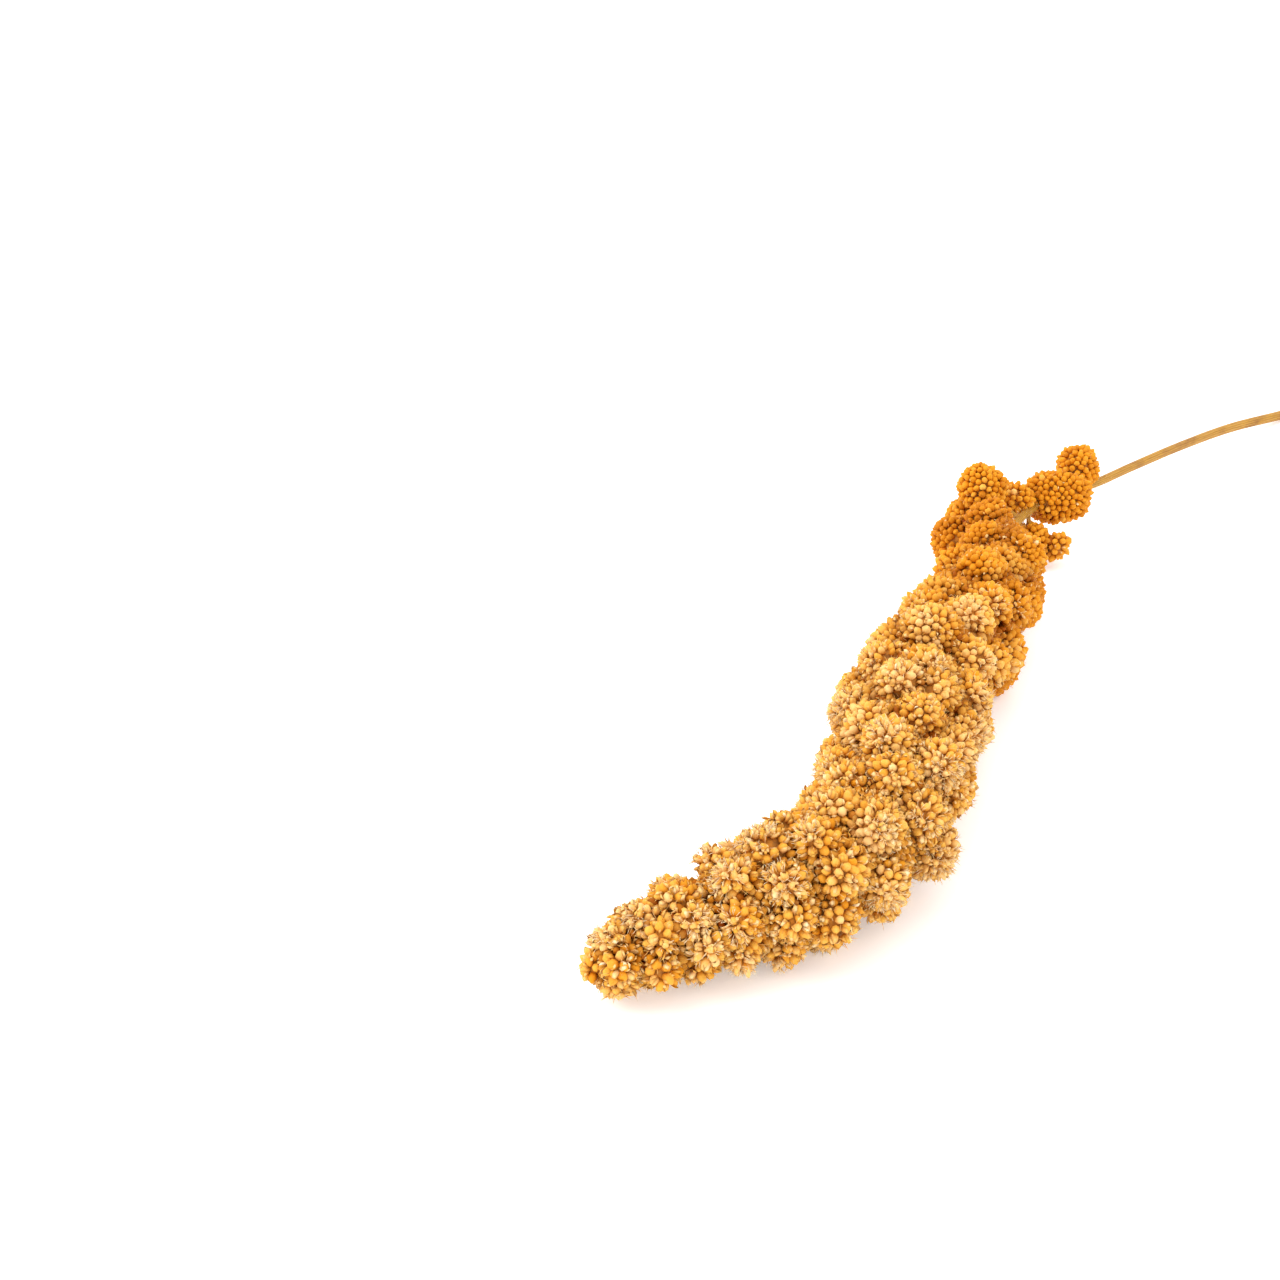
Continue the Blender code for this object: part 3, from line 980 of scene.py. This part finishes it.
def ball_shape():
    """A ball of radius one."""
    angles = np.linspace(0, math.pi, BALL_POINTS)
    return turned([(math.sin(a), -math.cos(a)) for a in angles], BALL_SIDES)


def stand(out, rng, tilt):
    """Three unit directions for each place: two across, at a random turn, and one near the way out."""
    up = unit(out + rng.normal(size=out.shape) * tilt / math.sqrt(2))
    side = beside(up)
    turn = rng.uniform(0, 2 * math.pi, len(up))[:, None]
    first = side * np.cos(turn) + np.cross(up, side) * np.sin(turn)
    return np.stack([first, np.cross(up, first), up], axis=1)


def stamped(shape, middle, axes, sizes):
    """The shape's points at every place, as (place, point, xyz).

    Each is the middle plus the point's x, y and z times the sizes, along the place's three axes.
    """
    return middle[:, None] + np.einsum("vk,mk,mkj->mvj", shape.points, sizes, axes)


def scattered(places, counts, rng):
    """For each small piece, the number of its seed, the seed's way out, and a random way across that."""
    number = np.repeat(np.arange(len(counts)), counts)
    out = places.out[number]
    return number, out, flat_on(rng.normal(size=out.shape), out)


def husk_marks(shape, count, rng):
    """Where each point reads the husk's streaks: its direction from the middle, shifted for each copy."""
    return (unit(shape.points) + rng.uniform(*HUSK_SHIFT, (count, 1, 3))).reshape(-1, 3)


def add_piece(name, shape, points, values, material, node=None):
    """A mesh object from a shape set at many places, held between the floor and the model's top.

    A value goes to all points of a copy, or to each point.
    """
    copies, size = points.shape[:2]
    points = np.concatenate([points[..., :2], np.clip(points[..., 2:], FLOOR_GAP, CEILING)], axis=-1)
    mesh = bpy.data.meshes.new(name)
    mesh.vertices.add(copies * size)
    mesh.vertices.foreach_set("co", points.astype(np.float32).ravel())
    corners = (np.arange(copies)[:, None] * size + shape.corners).ravel()
    mesh.loops.add(len(corners))
    mesh.loops.foreach_set("vertex_index", corners.astype(np.int32))
    counts = np.tile(shape.counts, copies)
    mesh.polygons.add(len(counts))
    mesh.polygons.foreach_set("loop_start", (np.cumsum(counts) - counts).astype(np.int32))
    mesh.polygons.foreach_set("use_smooth", np.ones(len(counts), bool))
    mesh.update(calc_edges=True)
    for key, numbers in {"rise": np.tile(shape.rise, copies), **values}.items():
        kind, field = ("FLOAT_VECTOR", "vector") if np.ndim(numbers) > 1 else ("FLOAT", "value")
        full = np.repeat(numbers, size, axis=0) if len(numbers) == copies else numbers
        mesh.attributes.new(key, kind, "POINT").data.foreach_set(field, np.ravel(full).astype(np.float32))
    across = math.ceil(math.sqrt(copies))
    cell = np.stack([np.arange(copies) % across, np.arange(copies) // across], axis=1)
    chart = (cell[:, None] + CHART_MARGIN + (1 - 2 * CHART_MARGIN) * shape.chart) / across
    mesh.uv_layers.new(name="OFBake").uv.foreach_set("vector", chart.astype(np.float32).ravel())
    mesh.materials.append(material)
    obj = bpy.data.objects.new(name, mesh)
    bpy.context.scene.collection.objects.link(obj)
    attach(obj, BODY)
    if node:
        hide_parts(node)


# Materials

WHITE = (1.0, 1.0, 1.0)

# Factors that a colour is multiplied by. The crease and root factors are painted shade, and the foot factor
# is partly the husk's own colour and partly painted shade. The golden and stain factors are the scales' and
# the straw's own colours.
FOOT_HUSK_AND_PAINTED_SHADE, CREASE_PAINTED_SHADE = (0.76, 0.46, 0.10), (0.38, 0.17, 0.03)
GOLDEN_SHADE, ROOT_PAINTED_SHADE = (0.86, 0.60, 0.20), (0.62, 0.33, 0.05)
STAIN_SHADE, FURROW_SHADE = (0.62, 0.50, 0.38), (0.66, 0.58, 0.48)
GROUND_SHADES = (0.6, 1.5)

# How fine a seed's streaks are, across it and along it
HUSK_STREAKS = (4.5, 4.5, 1.1)

# The usual range of noise, and a Mix node's sockets for colours
NOISE_RANGE = (0.3, 0.7)
MIX_FIRST, MIX_SECOND, MIX_RESULT = 6, 7, 2


class Nodes:
    """A short way to write a material's node tree. A material that is there already is written anew."""

    def __init__(self, name):
        self.material = bpy.data.materials.get(name) or bpy.data.materials.new(name)
        self.material.use_nodes = True
        self.tree = self.material.node_tree
        self.shader = self.tree.nodes["Principled BSDF"]
        kept = (self.shader, self.tree.nodes["Material Output"])
        for node in [node for node in self.tree.nodes if node not in kept]:
            self.tree.nodes.remove(node)

    def add(self, kind, **values):
        """A node with its settings by name, and its inputs as in_NAME."""
        node = self.tree.nodes.new(kind)
        inputs = {key.removeprefix("in_"): value for key, value in values.items() if key.startswith("in_")}
        for key, value in values.items():
            if not key.startswith("in_"):
                setattr(node, key, value)
        for key, value in inputs.items():
            self.put(node.inputs[int(key) if key.isdigit() else key.replace("_", " ")], value)
        return node

    def put(self, socket, value):
        """Links an output to a socket, or sets the socket to a number or a colour."""
        if isinstance(value, bpy.types.NodeSocket):
            self.tree.links.new(value, socket)
        else:
            socket.default_value = value

    def attribute(self, name, output="Fac"):
        """A value that the mesh carries."""
        return self.add("ShaderNodeAttribute", attribute_name=name).outputs[output]

    def place(self, scale=(1, 1, 1)):
        """The place on the object, stretched."""
        return self.stretched(self.add("ShaderNodeTexCoord").outputs["Object"], scale)

    def stretched(self, vector, scale):
        """A vector times a scale along each axis."""
        return self.add("ShaderNodeMapping", in_Vector=vector, in_Scale=scale).outputs[0]

    def noise(self, vector, scale, detail=3.0, rough=0.5):
        """Cloudy noise, about 0 to 1."""
        node = self.add("ShaderNodeTexNoise", in_Vector=vector, in_Scale=scale, in_Detail=detail)
        self.put(node.inputs["Roughness"], rough)
        return node.outputs["Fac"]

    def plus(self, value, share, base):
        """The base plus a share of the value."""
        node = self.add("ShaderNodeMath", operation="MULTIPLY_ADD", in_0=value, in_1=share, in_2=base)
        return node.outputs[0]

    def ramp(self, value, stops):
        """The colour for a value, from (value, colour) stops."""
        node = self.add("ShaderNodeValToRGB", in_Fac=value)
        points = node.color_ramp.elements
        while len(points) < len(stops):
            points.new(0.5)
        for point, (position, colour) in zip(points, stops):
            point.position = position
            point.color = (*colour, 1.0)
        return node.outputs["Color"]

    def span(self, value, to_low, to_high):
        """Turns the usual range of noise into another."""
        low, high = NOISE_RANGE
        node = self.add("ShaderNodeMapRange", in_Value=value, in_1=low, in_2=high, in_3=to_low, in_4=to_high)
        return node.outputs[0]

    def shaded(self, colour, shade):
        """A colour multiplied by a shade."""
        node = self.add("ShaderNodeMix", data_type="RGBA", blend_type="MULTIPLY", in_0=1.0)
        self.put(node.inputs[MIX_FIRST], colour)
        self.put(node.inputs[MIX_SECOND], shade)
        return node.outputs[MIX_RESULT]

    def bump(self, height, strength, distance):
        """A normal that is pushed about by a height."""
        node = self.add("ShaderNodeBump", in_Height=height, in_Strength=strength, in_Distance=distance)
        return node.outputs["Normal"]

    def finish(self, colour, roughness, normal=None, **constants):
        """Puts colour, roughness, normal and constants into the shader."""
        self.put(self.shader.inputs["Base Color"], colour)
        self.put(self.shader.inputs["Roughness"], roughness)
        if normal is not None:
            self.put(self.shader.inputs["Normal"], normal)
        for key, value in constants.items():
            self.shader.inputs[key.replace("_", " ")].default_value = value
        return self.material


def seed_material(colours):
    """A seed in its husk: dark orange to pale by its tone, with streaks along it, painted shade in creases,
    and a darker foot that is partly painted shade.
    """
    nodes = Nodes("millet_seed")
    streak = nodes.noise(nodes.stretched(nodes.attribute("husk", "Vector"), HUSK_STREAKS), scale=1.0)
    mottle = nodes.noise(nodes.place(), scale=1400.0)
    tone = nodes.plus(mottle, share=0.20, base=nodes.attribute("tone"))
    tone = nodes.plus(streak, share=0.30, base=tone)
    stops = (
        (0.15, colours.seed_dark),
        (0.50, colours.seed_gold),
        (0.80, colours.seed_light),
        (1.0, colours.seed_pale),
    )
    # A darker foot: partly the husk's own colour, partly painted shade where it sits among its neighbours
    foot = nodes.ramp(nodes.attribute("rise"), ((0.12, FOOT_HUSK_AND_PAINTED_SHADE), (0.60, WHITE)))
    # Painted shade: seeds darker in creases and beside a second lobe, by their open value
    painted_crease_shade = nodes.ramp(nodes.attribute("open"), ((0.40, CREASE_PAINTED_SHADE), (0.98, WHITE)))
    colour = nodes.shaded(nodes.shaded(nodes.ramp(tone, stops), foot), painted_crease_shade)
    normal = nodes.bump(streak, strength=0.35, distance=0.00006)
    roughness = nodes.span(streak, to_low=0.46, to_high=0.62)
    return nodes.finish(colour, roughness, normal, Specular_IOR_Level=0.09)


def scale_material(colours):
    """Papery scales and bristles: golden to pale straw, darker at the root as painted shade, with fine
    fibres.
    """
    nodes = Nodes("millet_scale")
    golden = [part * shade for part, shade in zip(colours.scale, GOLDEN_SHADE)]
    stops = (0.1, golden), (0.75, colours.scale), (1.0, colours.bristle)
    # Painted shade: darker and more orange towards the root, which stands deep among the seeds
    root = nodes.ramp(nodes.attribute("rise"), ((0.0, ROOT_PAINTED_SHADE), (0.75, WHITE)))
    colour = nodes.shaded(nodes.ramp(nodes.attribute("tone"), stops), root)
    fibre = nodes.noise(nodes.place(), scale=6000.0)
    normal = nodes.bump(fibre, strength=0.3, distance=0.00003)
    roughness = nodes.span(fibre, to_low=0.55, to_high=0.75)
    return nodes.finish(colour, roughness, normal, Specular_IOR_Level=0.08)


def ground_material(colours):
    """What shows deep between the seeds: brown husk and stalk, its darkness partly painted shade."""
    nodes = Nodes("millet_ground")
    patch = nodes.noise(nodes.place(), scale=900.0, detail=4.0)
    dark, light = ([part * shade for part in colours.ground] for shade in GROUND_SHADES)
    normal = nodes.bump(patch, strength=0.8, distance=0.0004)
    roughness = nodes.span(patch, to_low=0.75, to_high=0.9)
    return nodes.finish(nodes.ramp(patch, ((0.3, dark), (0.7, light))), roughness, normal)


def straw_material(colours):
    """Dry straw: streaks and furrows along the stem, with small stains."""
    nodes = Nodes("millet_straw")
    streak = nodes.noise(nodes.attribute("straw", "Vector"), scale=3.0, detail=4.0, rough=0.6)
    stain = nodes.noise(nodes.place((0.5, 1, 1)), scale=180.0, detail=5.0, rough=0.65)
    colour = nodes.ramp(streak, ((0.32, colours.straw_dark), (0.60, colours.straw_light)))
    colour = nodes.shaded(colour, nodes.ramp(stain, ((0.28, STAIN_SHADE), (0.50, WHITE))))
    furrow = nodes.ramp(nodes.attribute("tone"), ((0.0, FURROW_SHADE), (0.7, WHITE)))
    normal = nodes.bump(streak, strength=0.35, distance=0.00008)
    roughness = nodes.span(streak, to_low=0.66, to_high=0.48)
    return nodes.finish(nodes.shaded(colour, furrow), roughness, normal, Specular_IOR_Level=0.3)


def floor_material(stage):
    """A plain pale floor that gives off a little light."""
    return Nodes("stage_floor").finish(
        (*stage.floor, 1.0),
        roughness=0.9,
        Specular_IOR_Level=0.1,
        Emission_Strength=stage.floor_glow,
        Emission_Color=(*WHITE, 1.0),
    )


# Pieces


def build_seeds(name, node, places, slim, tones, settings, seed, material):
    """Seeds at the places. Slim is a factor for each one's width, and those under 1 are longer by as much."""
    rng = np.random.default_rng(seed)
    count = len(places.middle)
    plump = settings.plump * table_at(SEED_PLUMPER, places.along)
    width = places.pitch * plump * slim * rng.uniform(*SEED_WIDTHS, count)
    length = width * settings.stretch * rng.uniform(*SEED_LENGTHS, count) / slim**2
    sizes = np.stack([width, width * rng.uniform(*SEED_FLATNESS, count), length], axis=1)
    shape = seed_shape()
    points = stamped(shape, places.middle, stand(places.out, rng, settings.tilt), sizes)
    uneven = rng.normal(1, settings.rough, (*points.shape[:2], 1))
    points = places.middle[:, None] + (points - places.middle[:, None]) * uneven
    # The open value carries the painted crease shade to the material
    values = {"tone": tones, "husk": husk_marks(shape, count, rng), "open": places.open}
    add_piece(name, shape, points, values, material, node)


def build_florets(name, places, heart, crest, settings, seed, material):
    """Slim pale husks: some round each seed of a rosette, and a few among the other seeds.

    They lean away from the heart of their rosette, or of their lobe.
    """
    rng = np.random.default_rng(seed)
    few = rng.poisson(table_at(LOOSE_FLORETS, places.along))
    number, out, across = scattered(places, np.where(crest, settings.rosette_florets, few), rng)
    count = len(number)
    away = places.middle[number] - heart[number] + across * settings.floret_width
    spread = np.linalg.norm(away, axis=1, keepdims=True) / settings.rosette_reach
    lean = FLORET_LEAN + FLORET_LEAN_MORE * np.minimum(spread, FLORET_LEAN_REACH)
    aside = settings.floret_width * rng.uniform(*FLORET_BESIDE, (count, 1))
    middle = places.middle[number] + across * aside + out * FLORET_ABOVE
    width = settings.floret_width * rng.uniform(*FLORET_WIDTHS, count)
    length = settings.floret_length * rng.uniform(*FLORET_LENGTHS, count)
    shape = floret_shape()
    axes = stand(unit(out + flat_on(away, out) * lean), rng, FLORET_TILT)
    points = stamped(shape, middle, axes, np.stack([width, FLORET_THICK * width, length], axis=1))
    husk = husk_marks(shape, count, rng)
    tones = np.clip(rng.normal(*FLORET_TONE, count), 0, 1)
    add_piece(name, shape, points, {"tone": tones, "husk": husk, "open": np.ones(count)}, material)


def build_scales(name, root, outs, inward, sizes, seed, material):
    """Scales from their roots along their ways out, each curled over towards its inward way."""
    rng = np.random.default_rng(seed)
    count = len(root)
    shape = scale_shape()
    up = unit(outs + rng.normal(size=outs.shape) * SCALE_TILT)
    curled = flat_on(inward + rng.normal(size=outs.shape) * SCALE_TURN, up)
    axes = np.stack([np.cross(curled, up), curled, up], axis=1)
    points = stamped(shape, root, axes, sizes * rng.uniform(*SCALE_SIZES, (count, 1)))
    tones = np.clip(rng.normal(*SCALE_TONE, count), 0, 1)
    add_piece(name, shape, points, {"tone": tones}, material)


def build_bristles(name, root, outs, half, length, pale, seed, material):
    """Bristles from their roots, each bowed aside by a share of its length and about as pale as given."""
    rng = np.random.default_rng(seed)
    count = len(root)
    shape, bow = bristle_shape()
    axes = stand(outs, rng, BRISTLE_TILT)
    tall = length * rng.uniform(*BRISTLE_LENGTHS, count)
    thick = np.full(count, 2 * half)
    points = stamped(shape, root, axes, np.stack([thick, thick, tall], axis=1))
    aside = (tall[:, None] * axes[:, 0])[:, None] * rng.uniform(*BRISTLE_BOWS, (count, 1, 1))
    tones = np.clip(pale + rng.normal(0, BRISTLE_TONE_SPREAD, count), 0, 1)
    add_piece(name, shape, points + bow[None, :, None] * aside, {"tone": tones}, material)


def build_ground(name, node, lobes, settings, material):
    """The brown ground that the seeds stand on: every lobe's egg, drawn in."""
    mass = Mass(lobes, settings.sink + GROUND_BELOW)
    side = beside(mass.lean)
    axes = np.stack([side, np.cross(mass.lean, side), mass.lean], axis=1)
    sizes = np.stack([mass.broad, mass.broad, mass.long], axis=1)
    shape = ball_shape()
    add_piece(name, shape, stamped(shape, mass.centre, axes, sizes), {}, material, node)


def build_chaff(name, places, crest, scene, seed, material):
    """Scales and bristles among the seeds of one node, with most bristles in the rosettes."""
    settings, rng = scene.millet_chaff, np.random.default_rng(seed)
    more = table_at(CHAFF_SHARE, places.along)

    number, out, across = scattered(places, rng.poisson(settings.scale_share * more), rng)
    pitch = places.pitch[number][:, None]
    root = places.middle[number] + across * pitch * SCALE_ASIDE - out * pitch * SCALE_BELOW
    lean = unit(out + across * rng.uniform(*SCALE_LEANS, (len(out), 1)))
    full_size = np.array([settings.scale_width, settings.scale_width, settings.scale_length])
    sizes = full_size * table_at(SCALE_SIZE, places.along)[number][:, None]
    build_scales(name + "_scales", root, lean, -across, sizes, seed + 1, material)

    thick = np.where(crest, ROSETTE_BRISTLES, 1.0) * table_at(BRISTLE_SHARE, places.along)
    share = settings.bristle_share * more * np.maximum(thick, LEAST_BRISTLES)
    number, out, across = scattered(places, rng.poisson(share), rng)
    pitch = scene.millet_seeds.pitch
    root = places.middle[number] + across * BRISTLE_ASIDE * pitch + out * pitch * BRISTLE_ABOVE
    lean = unit(out + across * rng.uniform(*BRISTLE_LEANS, (len(out), 1)))
    pale = np.where(crest[number], ROSETTE_BRISTLE_TONE, BRISTLE_TONE)
    half, length = settings.bristle_half, settings.bristle_length
    build_bristles(name + "_bristles", root, lean, half, length, pale, seed + 3, material)


def build_tube(name, line, halves, sides, ridges, ridge_height, material):
    """A ridged tube along a line, for the stem: each ring's radius is h + r (cos(ridges * angle) - 1) / 2.

    h is its half thickness, and r the height of a ridge from furrow to crest. Rings run backwards round the
    line, so that the faces point outwards. The tone is 0 in a furrow and 1 on a crest.
    """
    ahead = unit(np.gradient(line, axis=0))
    side = beside(ahead)
    up = np.cross(side, ahead)
    angle = (np.arange(sides) * 2 * math.pi / sides)[::-1]
    wave = np.cos(angle * ridges)
    radius = halves[:, None] + ridge_height / 2 * (wave - 1)
    out = np.cos(angle)[:, None] * side[:, None] + np.sin(angle)[:, None] * up[:, None]
    shape = closed_tube(line[:, None] + radius[..., None] * out, line[0], line[-1])
    tone = np.concatenate([[0.5], 0.5 + 0.5 * np.tile(wave, len(line)), [0.5]])
    gone = np.concatenate([[0.0], np.cumsum(np.linalg.norm(np.diff(line, axis=0), axis=1))])
    streak = np.stack(
        [
            np.repeat(gone * STREAK_ALONG, sides),
            np.tile(np.cos(angle) * STREAK_ROUND, len(line)),
            np.tile(np.sin(angle) * STREAK_ROUND, len(line)),
        ],
        axis=1,
    )
    streak = np.concatenate([streak[:1] * (1, 0, 0), streak, streak[-1:] * (1, 0, 0)])
    add_piece(name, shape, shape.points[None], {"tone": tone, "straw": streak}, material, STEM)


class MILLET_OT_seed_head(bpy.types.Operator):
    """Seeds, ground, florets, scales and bristles of the seed head"""

    bl_idname = "millet.seed_head"
    bl_label = "Seed head"

    def execute(self, context):
        scene = context.scene
        seeds, chaff, colours = scene.millet_seeds, scene.millet_chaff, scene.millet_colours
        grown = [*lobe_layout(), *FOOT_LOBES]
        lobes = [*grown, *core_balls()]
        places = seed_places(lobes, seeds, HEAD_PLACE_DRAW)
        heart, crown, crest = rosettes(places, lobes, len(grown), chaff, ROSETTE_DRAW)
        # Tone lift along the head, painted light near each lobe's top, and random patches
        lift_and_painted_light = table_at(SEED_LIFT, places.along) + crown * table_at(CROWN_PAINTED_LIGHT, places.along)
        lift_and_painted_light = lift_and_painted_light + PATCH_LIFT * slow_noise(places.middle, PATCH_WAVE, HEAD_PATCH_DRAW)
        tones = seed_tones(places, np.random.default_rng(HEAD_TONE_DRAW), lift_and_painted_light)
        slim = np.where(crest, ROSETTE_SLIM, 1.0)
        husk = seed_material(colours)
        for number, (band, (start, end)) in enumerate(SEED_BANDS.items()):
            wanted = (places.along >= start) & (places.along < end)
            build_seeds(
                f"seeds_{band}",
                HEAD,
                places.only(wanted),
                slim[wanted],
                tones[wanted],
                seeds,
                HEAD_SEED_DRAW + number,
                husk,
            )
        build_ground("head_ground", HEAD, lobes, seeds, ground_material(colours))
        build_florets("head_florets", places, heart, crest, chaff, FLORET_DRAW, husk)
        build_chaff("head", places, crest, scene, HEAD_CHAFF_DRAW, scale_material(colours))
        return {"FINISHED"}


class MILLET_OT_clusters(bpy.types.Operator):
    """The loose clusters near the base, each with its seeds, ground, scales and bristles"""

    bl_idname = "millet.clusters"
    bl_label = "Loose clusters"

    def execute(self, context):
        scene = context.scene
        seeds, colours = scene.millet_seeds, scene.millet_colours
        husk, ground, paper = seed_material(colours), ground_material(colours), scale_material(colours)
        for number, (node, lobes) in enumerate(CLUSTERS.items()):
            draw = CLUSTER_DRAW + CLUSTER_DRAW_STEP * number
            places = seed_places(lobes, seeds, draw)
            tones = seed_tones(places, np.random.default_rng(draw), CLUSTER_LIFT)
            build_seeds(node + "_seeds", node, places, 1.0, tones, seeds, draw + 1, husk)
            build_ground(node + "_ground", node, lobes, seeds, ground)
            no_crest = np.zeros(len(places.middle), bool)
            build_chaff(node, places, no_crest, scene, draw + 3, paper)
        return {"FINISHED"}


class MILLET_OT_stem(bpy.types.Operator):
    """The ridged stem and rachis, the branchlets and their hairs"""

    bl_idname = "millet.stem"
    bl_label = "Stem"

    def execute(self, context):
        straw, colours = context.scene.millet_straw, context.scene.millet_colours
        material = straw_material(colours)
        first = int(np.argmax(DISTANCES >= RACHIS_START))
        line, far = LINE[first::STEM_SKIP], DISTANCES[first::STEM_SKIP]
        halves = table_at(STEM_HALF, far)
        build_tube("straw_stem", line, halves, STEM_SIDES, straw.ridges, straw.ridge_height, material)
        for number, lobes in enumerate(CLUSTERS.values(), 1):
            self.add_branchlet(f"branchlet_{number}", np.array(lobes[0].centre), material)
        self.add_hairs(straw.hairs, scale_material(colours))
        return {"FINISHED"}

    def add_branchlet(self, name, heart, material):
        """A straight stalk from the nearest point of the middle line to the heart of a loose cluster."""
        root = LINE[int(np.argmin(np.linalg.norm(LINE - heart, axis=1)))]
        line = root + (heart - root) * np.linspace(0, 1, BRANCHLET_RINGS)[:, None]
        halves = np.full(BRANCHLET_RINGS, BRANCHLET_HALF)
        ridges, ridge_height = BRANCHLET_RIDGES, BRANCHLET_RIDGE_HEIGHT
        build_tube(name, line, halves, BRANCHLET_SIDES, ridges, ridge_height, material)

    def add_hairs(self, count, material):
        """Hairs on the stem near the head, at random places, that lean towards the head."""
        rng = np.random.default_rng(HAIR_PLACE_DRAW)
        far = rng.uniform(HAIRS_FROM, HAIRS_TO, count)
        ahead = unit(line_points(far + LINE_STEP) - line_points(far - LINE_STEP))
        out = flat_on(unit(rng.normal(size=(count, 3))), ahead)
        root = line_points(far) + out * table_at(STEM_HALF, far)[:, None] * HAIR_DEPTH
        lean = unit(out - HAIR_LEAN * ahead)
        build_bristles("stem_hairs", root, lean, HAIR_HALF, HAIR_LENGTH, HAIR_TONE, HAIR_DRAW, material)


class MILLET_OT_stage(bpy.types.Operator):
    """Floor, soft light and the camera"""

    bl_idname = "millet.stage"
    bl_label = "Stage"

    def execute(self, context):
        scene = context.scene
        half = FLOOR_SIDE / 2
        corners = [(-half, -half, 0), (half, -half, 0), (half, half, 0), (-half, half, 0)]
        mesh = bpy.data.meshes.new("floor")
        mesh.from_pydata(corners, [], [(0, 1, 2, 3)])
        mesh.materials.append(floor_material(scene.millet_stage))
        floor = bpy.data.objects.new("floor", mesh)
        scene.collection.objects.link(floor)
        self.add_light(scene)
        self.add_sky(scene)
        self.add_camera(scene)
        scene.view_settings.view_transform = "Standard"
        return {"FINISHED"}

    def add_light(self, scene):
        """One wide main light from the upper left."""
        lamp = bpy.data.lights.new("key", "SUN")
        lamp.energy = scene.millet_stage.key_strength
        lamp.angle = scene.millet_stage.key_softness
        obj = bpy.data.objects.new("key", lamp)
        obj.rotation_euler = (-Vector(KEY_FROM)).to_track_quat("-Z", "Y").to_euler()
        scene.collection.objects.link(obj)

    def add_sky(self, scene):
        """Even white light from all round."""
        world = bpy.data.worlds.new("studio")
        world.use_nodes = True
        background = world.node_tree.nodes["Background"]
        background.inputs["Color"].default_value = (*WHITE, 1.0)
        background.inputs["Strength"].default_value = scene.millet_stage.sky_strength
        scene.world = world

    def add_camera(self, scene):
        """The camera, at the photograph's viewing angle."""
        camera = bpy.data.cameras.new("camera")
        camera.lens = CAMERA_LENS
        camera.sensor_width = CAMERA_SENSOR
        camera.clip_start = CAMERA_NEAR
        obj = bpy.data.objects.new("camera", camera)
        obj.location = CAMERA_PLACE
        level = math.cos(CAMERA_PITCH)
        across, forward = -math.sin(CAMERA_TURN) * level, math.cos(CAMERA_TURN) * level
        ahead = Vector((across, forward, -math.sin(CAMERA_PITCH)))
        obj.rotation_euler = ahead.to_track_quat("-Z", "Y").to_euler()
        scene.collection.objects.link(obj)
        scene.camera = obj


class MILLET_PT_panel(bpy.types.Panel):
    """Lists the settings and the pieces in the sidebar"""

    bl_label = "Millet head"
    bl_idname = "MILLET_PT_panel"
    bl_space_type = "VIEW_3D"
    bl_region_type = "UI"
    bl_category = "Millet"

    def draw(self, context):
        for group in GROUPS:
            settings = getattr(context.scene, group)
            box = self.layout.box()
            for key in settings.__annotations__:
                box.prop(settings, key)
        for operator in OPERATORS:
            self.layout.operator(operator.bl_idname)


GROUPS = {
    "millet_seeds": SeedSettings,
    "millet_chaff": ChaffSettings,
    "millet_straw": StrawSettings,
    "millet_colours": ColourSettings,
    "millet_stage": StageSettings,
}
OPERATORS = (MILLET_OT_seed_head, MILLET_OT_clusters, MILLET_OT_stem, MILLET_OT_stage)


def register():
    for group in (*GROUPS.values(), *OPERATORS, MILLET_PT_panel):
        bpy.utils.register_class(group)
    for name, group in GROUPS.items():
        setattr(bpy.types.Scene, name, PointerProperty(type=group))


def unregister():
    for name in GROUPS:
        delattr(bpy.types.Scene, name)
    for group in reversed((*GROUPS.values(), *OPERATORS, MILLET_PT_panel)):
        bpy.utils.unregister_class(group)


def main():
    register()
    bpy.ops.millet.stage()
    bpy.ops.millet.seed_head()
    bpy.ops.millet.clusters()
    bpy.ops.millet.stem()


if __name__ == "__main__":
    main()
